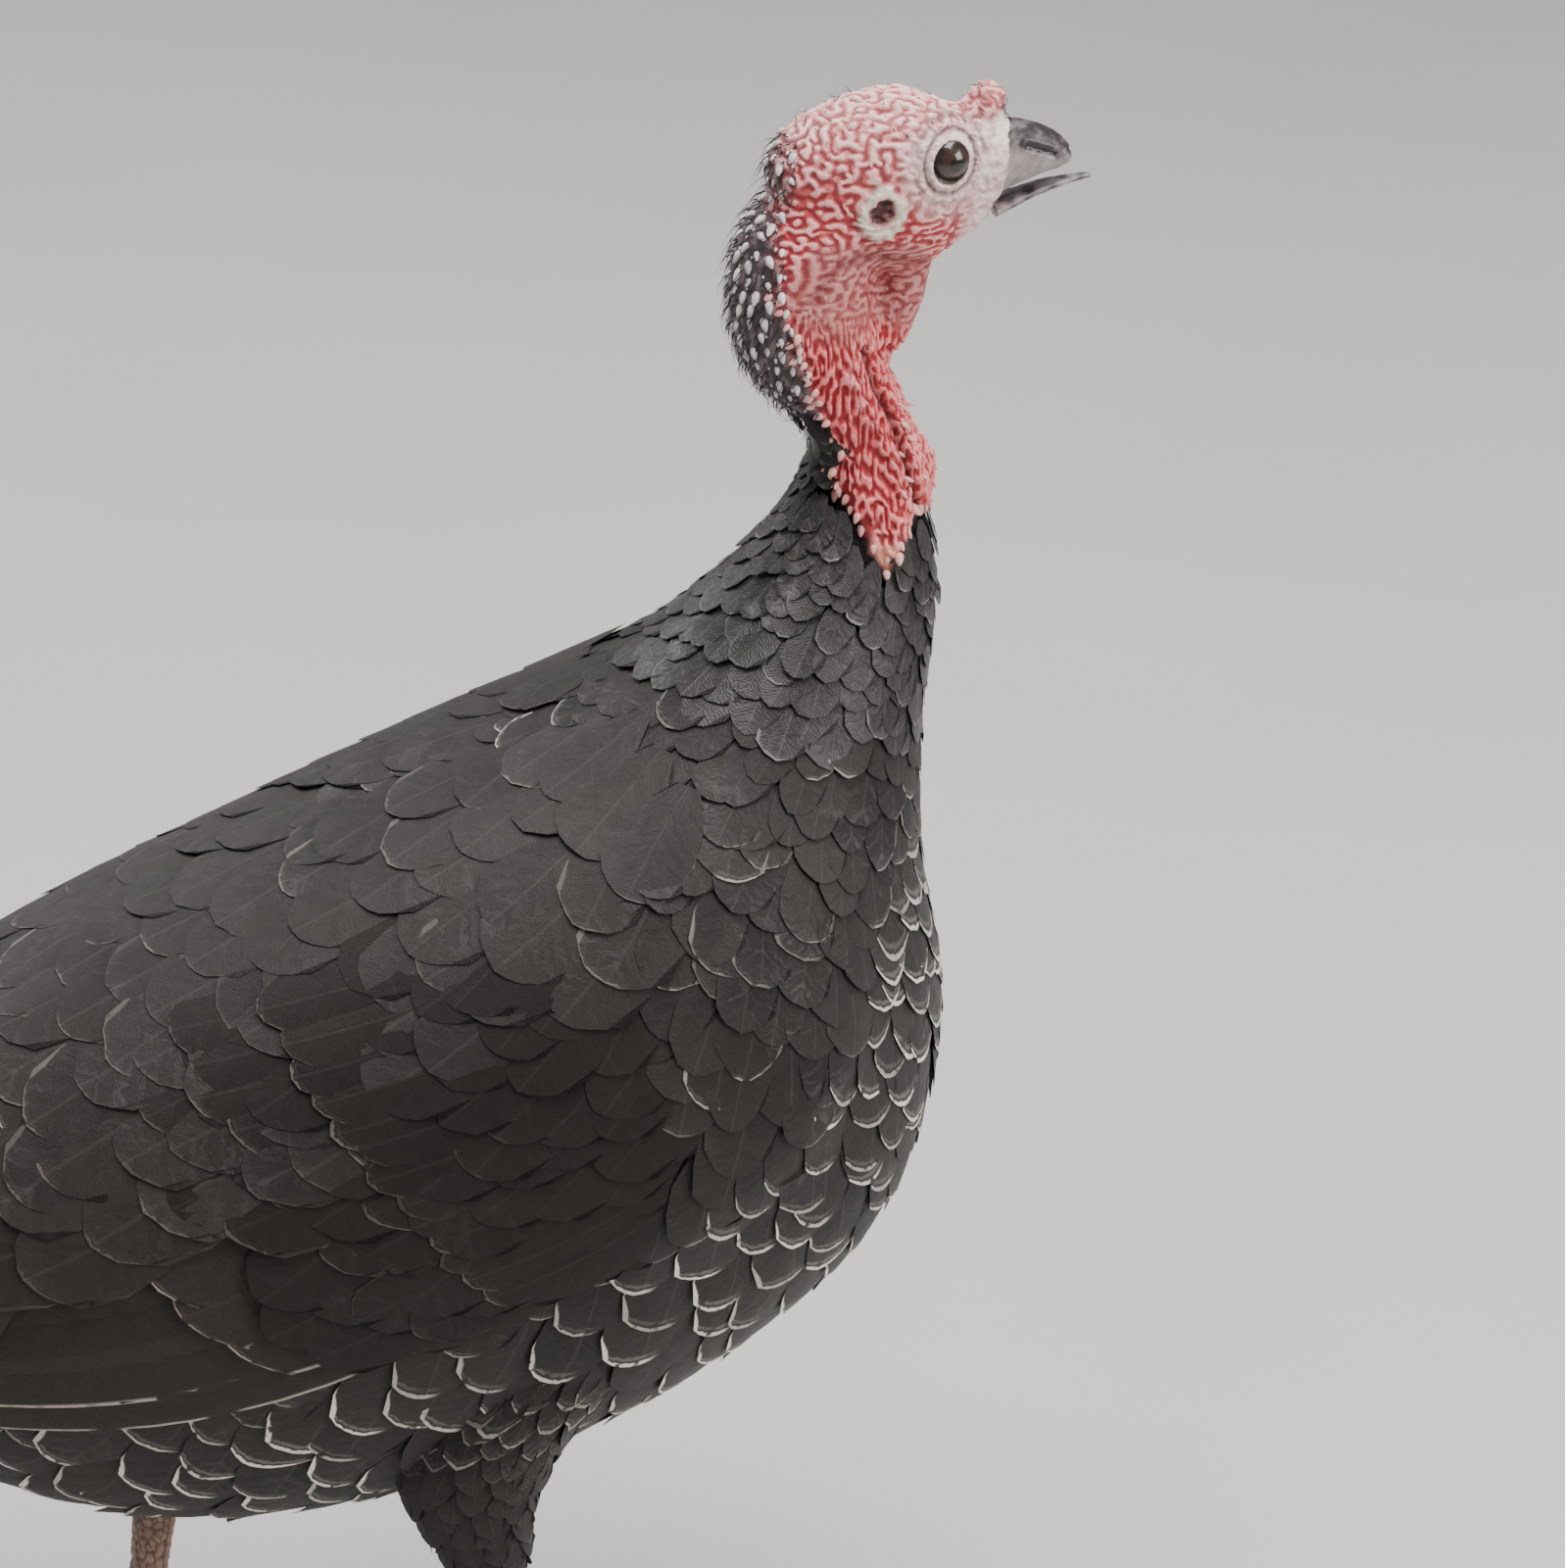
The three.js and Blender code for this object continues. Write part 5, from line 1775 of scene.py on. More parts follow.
@dataclass
class Coat:
    """The small feathers of the neck, body, thighs and tail root."""

    body: FeatherFinish = FeatherFinish(
        "body_feathers",
        (0.0080, 0.0070, 0.0069), (0.0185, 0.0133, 0.0116), (0.060, 0.052, 0.050), (0.74, 0.68, 0.62),
        210.0, glint=0.32,
    )
    # a glossy collar whose pale grey edge colour and strong glints are painted highlights
    neck: FeatherFinish = FeatherFinish(
        "neck_feathers",
        (0.0080, 0.0071, 0.0074), (0.018, 0.0138, 0.0130), (0.098, 0.090, 0.091), (0.34, 0.33, 0.33),
        120.0, roughness=0.38, glint=1.0, shine=0.32,
    )
    COLLAR_END = 6.6  # the ring of the body where the glossy collar ends
    # the length of feathers in mm by the number of the body's ring
    LENGTHS_BACK = ((3, 11), (4.5, 14), (6, 24), (8, 38), (10, 47), (13, 55), (16, 62))
    LENGTHS_FRONT = ((3, 11), (5, 14), (6, 20), (7, 28), (8, 36), (10, 43), (13, 46), (16, 44))

    def _lengths(self, u: Array, turn: Array) -> Array:
        """How long feathers are at places on the body."""
        front = (1 - np.cos(turn)) / 2
        back = read(u * LAST, self.LENGTHS_BACK)
        return back + (read(u * LAST, self.LENGTHS_FRONT) - back) * front

    def _outside(self, u: Array, turn: Array) -> Array:
        """The body's form, swollen where it covers the front edge of each folded wing."""
        body = BODY.place(u, turn)
        spot = body[:, [0, 2]]
        over = inside(spot, Wing.OUTLINE) * ease(body[:, 0], 20.0, 60.0)
        over = np.maximum(over, stroke(spot, Wing.FRONT, 34.0)) * ease(np.abs(body[:, 1]), 25.0, 55.0)
        return body + (BODY.place(u, turn, 8.5) - body) * over[:, None]

    def _spacing(self, points: Array, u: Array, turn: Array) -> Array:
        """How far apart feathers stand on the body."""
        hangs = ease(u * LAST, 8.6, 10.4) * ease(np.abs(np.sin(turn)), 0.1, 0.5)
        gap = (0.27 + 0.08 * hangs) * self._lengths(u, turn)
        grows = (MARKINGS.bare(points) < 0.35) & (points[:, 2] < 556 + 6 * wander(points, 7.0, 5))
        under_wing = inside(points[:, [0, 2]], Wing.SHELTERED) & (np.abs(points[:, 1]) > 55)
        return np.where(grows & ~under_wing, gap, 0.0)

    def _lie(self, hide: Hide, spots: Array, rng: np.random.Generator) -> Lie:
        """How the body's feathers lie."""
        points, dice = hide.points_at(spots), Dice(rng, len(spots))
        length = self._lengths(spots[:, 0], spots[:, 1]) * dice.between(0.9, 1.12)
        side = np.where(np.sin(spots[:, 1]) < 0, -1.0, 1.0)
        tipped = MARKINGS.tipped(points) * ease(spots[:, 0] * LAST, self.COLLAR_END, 8.2)
        strength = np.clip(tipped * dice.between(0.45, 1.15), 0, 1) * dice.chance(0.93)
        # painted highlights: a faint pale edge on some feathers that are not white-tipped
        painted_glint = dice.chance(0.3) * dice.between(0.08, 0.4) * (1 - tipped)
        rear = ease(-points[:, 0], 60, 160) * (1 - tipped) * dice.between(0.15, 0.6)
        flank = ease(spots[:, 0] * LAST, 7.6, 10.0) * ease(np.abs(np.sin(spots[:, 1])), 0.05, 0.5)
        return Lie(
            length=length,
            half=length * read(length, ((12, 0.30), (26, 0.31), (40, 0.32), (60, 0.33))) * dice.between(0.92, 1.1),
            heading=dice.about(0.0, 0.09) + side * 0.75 * flank,
            sink=np.interp(length, (12, 40), (1.8, 2.1)),
            lift=np.interp(length, (12, 40), (0.6, 0.15)) * dice.between(0.3, 1.5) + 0.8 * dice.chance(0.03),
            layer=dice.between(-0.2, 0.2) * np.interp(length, (12, 40), (0.8, 1.0)),
            roll=dice.about(0.0, 0.03) - side * 0.06 * flank,
            camber=dice.between(0.015, 0.05),
            round=dice.between(0.15, 0.25),
            ragged=np.interp(length, (12, 40), (0.012, 0.005)),
            tone=dice.share(0.3, 0.22),
            warm=dice.share(0.3, 0.25, 0.3 * ease(-points[:, 0], 40, 200)),
            tip=np.maximum(strength, np.maximum(painted_glint, rear)),
            width=np.where(tipped > 0.4, dice.between(1.5, 2.5), dice.between(0.6, 1.1)) / length,
            lean=np.where(tipped > 0.3, -side * flank * dice.chance(0.85), dice.side()),
        )

    def build(self, effects: Effects) -> list[Object]:
        """Lays and dresses the coat.

        Args:
            effects: the shared node groups.
        Returns:
            Its pieces.
        """
        rng = np.random.default_rng(7)
        hide = Hide(self._outside)
        body, neck = self.body.make(effects), self.neck.make(effects)
        spots = scattered(hide, self._spacing, 90000, 3, (0.2, 0.985))
        small = spots[:, 0] * LAST < self.COLLAR_END
        collar = Bundle().lay(hide, spots[small], self._lie(hide, spots[small], rng), VaneForm(4, 3), 21)
        made = [collar.piece("neck_feathers", neck, Slot.PLUMAGE)]
        rest = spots[~small]
        fore = (1 - np.cos(rest[:, 1])) / 2 > 0.55
        for name, part in (("breast_feathers", fore), ("back_feathers", ~fore)):
            bundle = Bundle().lay(hide, rest[part], self._lie(hide, rest[part], rng), VaneForm(), 22)
            made.append(bundle.piece(name, body, Slot.PLUMAGE))
        made.append(self._thighs(body, rng))
        made += self._tail_root(body, rng)
        return made

    def _thighs(self, finish: Material, rng: np.random.Generator) -> Object:
        """Short feathers down both drumsticks."""
        bundle = Bundle()
        for leg in LEGS:
            hide = Hide(leg.thigh)
            spots = scattered(hide, lambda p, u, t: 10.5 - 4.5 * u, 9000, 31 + leg.side)
            dice = Dice(rng, len(spots))
            length = (30 - 15 * spots[:, 0]) * dice.between(0.9, 1.15)
            tipped = MARKINGS.tipped(hide.points_at(spots)) * (1 - ease(spots[:, 0], 0.1, 0.3))
            lie = Lie(
                length=length,
                half=length * 0.29,
                heading=dice.about(0.0, 0.14),
                sink=3.0,
                lift=dice.between(0.3, 1.0),
                layer=dice.between(-0.4, 0.3),
                roll=dice.about(0.0, 0.05),
                round=dice.between(0.18, 0.3),
                ragged=0.02,
                tone=dice.share(0.25, 0.2),
                warm=dice.share(0.5, 0.25),
                tip=tipped * dice.between(0.1, 0.5),
                width=dice.between(0.04, 0.07),
            )
            bundle.lay(hide, spots, lie, VaneForm(5, 3), 33)
        return bundle.piece("thigh_feathers", finish, Slot.PLUMAGE)

    def _tail_root(self, finish: Material, rng: np.random.Generator) -> list[Object]:
        """The coverts over and under the root of the tail."""
        made = []
        for name, swathe, node in (
            ("upper_tail_coverts", UPPER_COVERTS, "tail_coverts_upper"),
            ("under_tail_coverts", LOWER_COVERTS, "tail_coverts_lower"),
        ):
            hide = Hide(swathe.cover)
            spots = scattered(hide, lambda p, u, t: 12.5 + 4 * u, 9000, 41, (0.02, 0.72))
            dice = Dice(rng, len(spots))
            lie = Lie(
                length=dice.between(50, 66),
                half=dice.between(14, 17),
                heading=dice.about(0.0, 0.07),
                sink=4.0,
                lift=dice.between(0.3, 1.2),
                layer=dice.between(-0.6, 0.6),
                roll=dice.about(0.0, 0.05),
                round=dice.between(0.14, 0.2),
                tone=dice.share(0.35, 0.2),
                warm=dice.share(0.5, 0.2),
                tip=dice.between(0.15, 0.6),
                width=dice.between(0.02, 0.035),
            )
            bundle = Bundle().lay(hide, spots, lie, VaneForm(), 43)
            made.append(bundle.piece(name, finish, Slot.PLUMAGE, (node,)))
        return made


@dataclass
class Run:
    """A row of large feathers between two lines of roots and two of tips, seen from the side, in mm."""

    name: str
    roots: tuple[Pair, Pair]
    tips: tuple[Pair, Pair]
    count: int
    half: Pair
    layer: Pair
    round: float = 0.1
    blunt: float = 6.0


@dataclass
class Wing:
    """A folded wing: scattered coverts in front, then rows of larger feathers."""

    coverts: FeatherFinish = FeatherFinish(
        "wing_covert_feathers",
        (0.0078, 0.0067, 0.0065), (0.018, 0.0128, 0.0108), (0.036, 0.0305, 0.029), (0.36, 0.31, 0.28),
        230.0, glint=0.06, lit=0.06, relief=0.00005, shine=0.19,
    )
    # a lighter copy of the coverts' finish for the top of the back, with more painted sheen and glints: painted light
    # from above
    mantle: FeatherFinish = FeatherFinish(
        "mantle_vanes",
        (0.0092, 0.0080, 0.0080), (0.022, 0.0162, 0.0142), (0.062, 0.054, 0.052), (0.36, 0.31, 0.28),
        230.0, glint=0.2, lit=0.1, relief=0.00006, shine=0.27,
    )
    flight: FeatherFinish = FeatherFinish(
        "flight_feathers",
        (0.0108, 0.0085, 0.0078), (0.022, 0.0160, 0.0140), (0.056, 0.044, 0.039), (0.56, 0.47, 0.41),
        900.0, slant=0.12, ragged=0.012, rim=0.85, glint=0.1, relief=0.00012, shine=0.24,
    )
    rows: tuple[Run, ...] = (
        Run("primaries", ((-90, 290), (-84, 312)), ((-262, 254), (-328, 264)), 8, (13, 13), (-6.0, -4.6), 0.07, 12.0),
        Run("secondaries", ((20, 308), (-84, 368)), ((-204, 266), (-236, 334)), 11, (21, 27), (-4.6, 0.6), 0.09, 12.0),
        Run("tertials", ((-20, 318), (-64, 384)), ((-88, 286), (-150, 362)), 6, (22, 28), (-2.2, 0.4), 0.12, 6.0),
        Run("greater", ((34, 312), (-44, 398)), ((-38, 286), (-94, 384)), 13, (17, 19), (-0.4, 1.6), 0.16, 4.0),
        Run("median", ((68, 326), (-10, 408)), ((0, 298), (-66, 392)), 13, (15, 16), (0.6, 2.0), 0.2, 3.0),
    )
    FRONT = ((84, 428), (112, 410), (117, 376), (94, 338), (58, 316))
    OUTLINE = (
        (84, 428), (112, 410), (117, 376), (94, 338), (50, 314), (8, 300),
        (-30, 296), (-44, 312), (-54, 350), (-70, 384), (-50, 404), (0, 424),
    )
    SHELTERED = (
        (60, 400), (84, 380), (70, 340), (20, 318), (-60, 302), (-190, 284), (-210, 305), (-120, 360), (-40, 395),
    )

    def _row(self, bundle: Bundle, hide: Hide, run: Run, side: int, form: VaneForm, rng: np.random.Generator) -> None:
        """Lays one row, its lowest feather first."""
        share = np.linspace(0, 1, run.count)[:, None]
        roots = np.array(run.roots[0]) + share * (np.array(run.roots[1]) - np.array(run.roots[0]))
        tips = np.array(run.tips[0]) + share * (np.array(run.tips[1]) - np.array(run.tips[0]))
        tips = tips + rng.normal(0.0, 1.6, tips.shape)
        start, end = hide.find(roots, side), hide.find(tips, side)
        first, last = hide.points_at(start), hide.points_at(end)
        scale = hide.spread((start[:, 0] + end[:, 0]) / 2, (start[:, 1] + end[:, 1]) / 2)
        way = (end - start) * scale
        dice = Dice(rng, run.count)
        large = run.name in ("primaries", "secondaries", "tertials")
        lie = Lie(
            length=np.linalg.norm(last - first, axis=1) * 1.02,
            half=np.linspace(*run.half, run.count),
            heading=np.arctan2(way[:, 1], way[:, 0]),
            sink=2.2,
            lift=0.3,
            layer=np.linspace(*run.layer, run.count),
            roll=side * (0.03 if large else 0.02),
            camber=0.05 if large else 0.07,
            round=run.round,
            blunt=run.blunt,
            root=0.5,
            taper=0.12 if large else 0.2,
            thick=0.25,
            ragged=0.004,
            tone=dice.share(0.35, 0.15),
            warm=dice.share(*((0.75, 0.15) if large else (0.4, 0.2))),
            tip=dice.between(*((0.35, 0.8) if large else (0.0, 0.24))),
            width=dice.between(*((0.009, 0.014) if large else (0.012, 0.02))),
        )
        bundle.lay(hide, start, lie, form, 51 + side)

    def _coverts(self, bundle: Bundle, hide: Hide, side: int, rng: np.random.Generator) -> None:
        """Scatters the small coverts of the shoulder."""

        def spacing(points: Array, u: Array, turn: Array) -> Array:
            """Wider apart towards the tail."""
            near = inside(points[:, [0, 2]], self.OUTLINE) & (points[:, 1] * side > 0)
            return np.where(near, 11.0 + 3.0 * ease(-points[:, 0], -80, 60), 0.0)

        spots = scattered(hide, spacing, 60000, 61 + side, (0.0, 0.7))
        points, dice = hide.points_at(spots), Dice(rng, len(spots))
        length = (38 + 12 * ease(-points[:, 0], -80, 60)) * dice.between(0.9, 1.1)
        front = stroke(points[:, [0, 2]], self.FRONT, 48.0)
        lie = Lie(
            length=length,
            half=length * 0.34,
            heading=side * 0.1 + dice.about(0.0, 0.09),
            sink=1.7 + 4.6 * front,
            lift=dice.between(0.05, 0.2),
            layer=1.1 - 4.2 * front + dice.between(-0.16, 0.16),
            roll=dice.about(0.0, 0.03) + side * 0.03,
            camber=dice.between(0.02, 0.05),
            round=dice.between(0.16, 0.24),
            tone=dice.share(0.28, 0.13),
            warm=dice.share(0.35, 0.18),
            tip=dice.chance(0.14) * dice.between(0.04, 0.2),
            width=dice.between(0.012, 0.025),
            lean=dice.side(),
        )
        bundle.lay(hide, spots, lie, VaneForm(), 63)

    def _mantle(self, hide: Hide, finish: Material, rng: np.random.Generator) -> Object:
        """Large feathers from the shoulders back, over the upper edges of both wings."""

        def spacing(points: Array, u: Array, turn: Array) -> Array:
            """Only beside the middle of the back."""
            aside = np.abs(np.arctan2(np.sin(turn), np.cos(turn)))
            return np.where((aside > 0.15 - 0.5 * u) & (aside < 1.12 - 0.2 * u), 14.0 + 7.0 * u, 0.0)

        spots = scattered(hide, spacing, 60000, 71, (0.03, 0.6))
        dice = Dice(rng, len(spots))
        length = np.interp(spots[:, 0], (0.0, 0.25, 0.56), (40, 54, 70)) * dice.between(0.92, 1.1)
        side = np.where(np.sin(spots[:, 1]) < 0, -1.0, 1.0)
        rear = ease(spots[:, 0], 0.2, 0.45)
        lie = Lie(
            length=length,
            half=length * 0.32,
            heading=side * 0.12 + dice.about(0.0, 0.08),
            sink=1.9,
            lift=dice.between(0.03, 0.16),
            layer=1.1 + 0.4 * rear + dice.between(-0.16, 0.16),
            roll=dice.about(0.0, 0.03),
            camber=dice.between(0.02, 0.05),
            round=dice.between(0.14, 0.22),
            tone=dice.share(0.4, 0.17),
            warm=dice.share(0.35, 0.2, 0.3 * rear),
            # pale tips towards the rear; the faint pale edges on some feathers at random are painted highlights
            tip=np.maximum(rear * dice.between(0.1, 0.5), dice.chance(0.3) * dice.between(0.05, 0.3)),
            width=dice.between(0.012, 0.022),
            lean=dice.side(),
        )
        return Bundle().lay(hide, spots, lie, VaneForm(), 73).piece("mantle_feathers", finish, Slot.PLUMAGE)

    def build(self, effects: Effects) -> list[Object]:
        """Lays and dresses both wings."""
        rng = np.random.default_rng(17)
        hide = Hide(WING.place)
        coverts, flight = self.coverts.make(effects), self.flight.make(effects)
        made = []
        for name, side in SIDES:
            flights = Bundle()
            for run in self.rows[:3]:
                self._row(flights, hide, run, side, VaneForm(8, 16), rng)
            nodes = ("wing_secondaries_" + name, "wing_primaries_" + name)
            made.append(flights.piece("wing_flight_feathers_" + name, flight, Slot.FLIGHT, nodes))
            small = Bundle()
            for run in self.rows[3:]:
                self._row(small, hide, run, side, VaneForm(6, 6), rng)
            self._coverts(small, hide, side, rng)
            made.append(small.piece("wing_covert_feathers_" + name, coverts, Slot.PLUMAGE, ("wing_coverts_" + name,)))
        made.append(self._mantle(hide, self.mantle.make(effects), rng))
        return made


@dataclass
class Tail:
    """The folded fan of the tail."""

    count: int = 18
    half: float = 22.0
    spread: float = 1.3
    aside: float = 2.5
    shorter: float = 2.6
    finish: FeatherFinish = FeatherFinish(
        "tail_feather_vanes",
        (0.014, 0.012, 0.012), (0.036, 0.026, 0.022), (0.07, 0.055, 0.05), (0.60, 0.50, 0.42),
        1500.0, slant=0.1, ragged=0.012, rim=0.3, glint=0.2,
    )

    def build(self, effects: Effects) -> Object:
        """Lays and dresses the tail."""
        dice = Dice(np.random.default_rng(27), self.count)
        hide = Hide(TAIL.place, (-1.4, 1.4), (80, 60))
        step = np.arange(self.count) - (self.count - 1) / 2
        spots = np.stack([np.full(self.count, 0.01), step * self.aside / (TAIL.half * TAIL.wide)], 1)
        lie = Lie(
            length=TAIL.length - self.shorter * np.abs(step) + dice.about(0, 1.0),
            half=self.half,
            heading=np.radians(step * self.spread),
            sink=0.0,
            lift=0.0,
            layer=2.4 - 0.5 * np.abs(step),
            roll=-0.012 * np.sign(step),
            camber=0.03,
            round=0.075,
            blunt=14.0,
            root=0.3,
            taper=0.06,
            thick=0.25,
            ragged=0.004,
            tone=dice.between(0.2, 0.5),
            warm=dice.between(0.4, 0.8),
            tip=0.95,
            width=dice.between(0.028, 0.036),
        )
        bundle = Bundle().lay(hide, spots, lie, VaneForm(8, 20), 81)
        return bundle.piece("tail_fan", self.finish.make(effects), Slot.FLIGHT, ("tail_feathers",))


# ---------------------------------------------------------------- small things on the skin


@dataclass(frozen=True)
class Growth:
    """One kind of small thing on the skin: where it is wanted, its spacing, its sizes in mm and how it lies."""

    wanted: Array  # for each point of the skin, from 0 to 1
    gap: float
    size: Pair  # the least and the greatest length of a bristle, or half width of a stud
    form: float  # a bristle's radius in mm, or how far a stud is drawn out
    way: tuple[float, float, float]
    stand: float  # how steeply it stands up from the skin


@dataclass
class Whiskers:
    """Black bristles, and the white tips of pins on the nape."""

    bristle: PlainFinish = PlainFinish("black_bristles", (0.010, 0.009, 0.010), (0.03, 0.024, 0.022), 0.45)
    pin: PlainFinish = PlainFinish("pin_tips", (0.82, 0.78, 0.76), (0.52, 0.46, 0.49), 0.45)
    bead: PlainFinish = PlainFinish("neck_beads", (0.84, 0.46, 0.42), (0.78, 0.33, 0.30), 0.4)

    @staticmethod
    def _rooted(
        skin: tuple[Array, Array], growth: Growth, loose: float, seed: int, rng: np.random.Generator
    ) -> tuple[Array, Array, Array]:
        """Chooses roots where a growth is wanted.

        Args:
            skin: the skin's points and normals.
            growth: what grows.
            loose: how far each one strays from the way in which they lie.
            seed: which choice of roots.
            rng: draws how each one strays.
        Returns:
            The chosen points' numbers, their normals, and the way along the skin in which each one lies.
        """
        points, normals = skin
        pick = np.random.default_rng(seed)
        order = pick.permutation(np.flatnonzero(pick.random(len(points)) < growth.wanted))
        chosen = np.array(spaced(points, np.full(len(points), growth.gap), order.tolist()), int)
        normal = normals[chosen]
        lie = np.array(growth.way) + rng.normal(0, loose, (len(chosen), 3))
        lie -= normal * (lie * normal).sum(1, keepdims=True)
        lie /= np.linalg.norm(lie, axis=1, keepdims=True) + 1e-9
        return chosen, normal, lie

    @staticmethod
    def _pattern(shape: BMesh) -> tuple[Array, Array]:
        """The corners and the triangles of a small shape, which is used up."""
        bmesh.ops.triangulate(shape, faces=shape.faces)
        shape.verts.index_update()
        corners = np.array([v.co[:] for v in shape.verts])
        faces = np.array([[v.index for v in f.verts] for f in shape.faces])
        shape.free()
        return corners, faces

    @staticmethod
    def _gathered(name: str, rows: list[Array], faces: Array, finish: Material, slot: Slot) -> Object:
        """All copies of a small shape as one dressed piece."""
        every = np.concatenate(rows)
        first = np.arange(len(every))[:, None, None] * every.shape[1]
        points = every.reshape(-1, 3)
        flat = np.stack([points[:, 1] / 90 + 0.5, (points[:, 2] - 480) / 200], 1)
        mesh = array_mesh(name, points, (faces[None] + first).reshape(-1, 3), {"OFBake": flat}, {})
        return finished(added(name, mesh), finish, slot)

    def _bristles(self, points: Array, normals: Array, effects: Effects) -> Object:
        """Bristles down the nape, on the crown and before the snood."""
        nape = MARKINGS.pin_nape(points) * (points[:, 2] > 540)
        crown = ease(points[:, 2], 650, 658) * (1 - ease(points[:, 0], 176, 186))
        tuft = bump(np.hypot(points[:, 0] - 193, points[:, 2] - 653.5), 0.0, 4.5)
        groups = (
            Growth(0.9 * nape, 2.7, (6.0, 12.0), 0.42, (-0.55, 0.0, -1.0), 1.0),
            Growth(0.9 * crown, 4.2, (3.0, 7.0), 0.24, (-0.6, 0.0, 0.5), 1.2),
            Growth(1.0 * tuft, 0.7, (3.0, 6.0), 0.22, (0.5, 0.0, 0.9), 1.0),
        )
        cone = bmesh.new()
        bmesh.ops.create_cone(cone, segments=3, radius1=1.0, radius2=0.12, depth=1.0, cap_ends=True)
        upright = [e for e in cone.edges if abs(e.verts[0].co.z - e.verts[1].co.z) > 0.5]
        bmesh.ops.subdivide_edges(cone, edges=upright, cuts=2)
        hair, faces = self._pattern(cone)
        hair[:, 2] += 0.5
        t = hair[None, :, 2]
        rng = np.random.default_rng(91)
        rows = []
        for k, growth in enumerate(groups):
            chosen, normal, lie = self._rooted((points, normals), growth, 0.3, 92 + k, rng)
            length = rng.uniform(*growth.size, len(chosen))[:, None]
            lift = rng.uniform(0.5, 1.2, len(chosen))[:, None] * growth.stand
            aside = np.cross(normal, lie)
            along = length * t * (0.35 + 0.65 * t)
            rise = length * lift * 0.5 * t * (1.4 - 0.9 * t) - 0.5
            thick = growth.form * (1 - 0.75 * t)
            place = points[chosen][:, None] + along[..., None] * lie[:, None] + rise[..., None] * normal[:, None]
            place = place + (thick * hair[None, :, 0])[..., None] * aside[:, None]
            rows.append(place + (thick * hair[None, :, 1])[..., None] * (normal - lie)[:, None] * 0.7)
        return self._gathered("bristles", rows, faces, self.bristle.make(effects), Slot.PLUMAGE)

    def _studs(self, points: Array, normals: Array, groups: Sequence[Growth], seed: int) -> tuple[list[Array], Array]:
        """Small drawn-out balls that stand on the skin: the corners of each one, and a ball's faces."""
        ball = bmesh.new()
        bmesh.ops.create_uvsphere(ball, u_segments=8, v_segments=5, radius=1.0)
        corners, faces = self._pattern(ball)
        x, y, z = (corners[None, :, k : k + 1] for k in range(3))
        slim = 1 - 0.4 * z
        rng = np.random.default_rng(seed)
        rows = []
        for k, growth in enumerate(groups):
            chosen, normal, lie = self._rooted((points, normals), growth, 0.22, seed + k, rng)
            lie = lie + normal * growth.stand
            lie /= np.linalg.norm(lie, axis=1, keepdims=True)
            aside = np.cross(normal, lie)
            aside /= np.linalg.norm(aside, axis=1, keepdims=True) + 1e-9
            up = np.cross(lie, aside)
            half = rng.uniform(*growth.size, len(chosen)) * np.interp(growth.wanted[chosen], (0, 1), (0.75, 1))
            place = growth.form * (z + 0.45) * lie[:, None]
            place = place + slim * (x * aside[:, None] + 0.8 * y * up[:, None])
            rows.append(points[chosen][:, None] + half[:, None, None] * place)
        return rows, faces

    def _pins(self, points: Array, normals: Array, effects: Effects) -> Object:
        """White pin tips on the dark nape, thinning out downwards."""
        nape = MARKINGS.pin_nape(points)
        high = nape * ease(points[:, 2], 548, 600)
        small = np.where(nape * (points[:, 2] > 546) > 0.2, 0.3 * nape, 0)
        groups = (
            Growth(np.where(high > 0.3, high, 0), 4.7, (0.95, 1.5), 1.75, (0.3, 0.0, -0.9), 0.4),
            Growth(small, 4.2, (0.4, 0.75), 1.4, (0.2, 0.0, -1.0), 0.4),
        )
        rows, faces = self._studs(points, normals, groups, 101)
        return self._gathered("pin_tips", rows, faces, self.pin.make(effects), Slot.PALE)

    def _beads(self, points: Array, normals: Array, effects: Effects) -> Object:
        """Fleshy beads along the borders of the red neck."""
        before, above = MARKINGS.past(points)
        high = points[:, 2]
        border = (np.abs(before) < 1.8) & (above > 0) & (high < 604)
        foot = (np.abs(above) < 1.6) & (before > -1)
        front = (normals[:, 0] > 0.7) & (above > 2) & (high < 560) & (points[:, 0] > 155)
        groups = (
            Growth(border * 1.0, 3.2, (0.95, 1.6), 1.4, (-0.9, 0.0, -0.45), 0.5),
            Growth(foot * 1.0, 3.6, (1.0, 1.6), 1.6, (-0.1, 0.0, -1.0), 0.45),
            Growth(front * 1.0, 5.0, (0.7, 1.1), 2.0, (0.4, 0.0, -0.9), 0.8),
        )
        rows, faces = self._studs(points, normals, groups, 141)
        return self._gathered("neck_beads", rows, faces, self.bead.make(effects), Slot.RED)

    def build(self, skin: Object, effects: Effects) -> list[Object]:
        """Sets bristles, pins and beads on the skin.

        Args:
            skin: the shaped skin.
            effects: the shared node groups.
        Returns:
            The pieces.
        """
        points, normals = corners_of(skin.data)
        return [make(points, normals, effects) for make in (self._bristles, self._pins, self._beads)]


# ---------------------------------------------------------------- legs


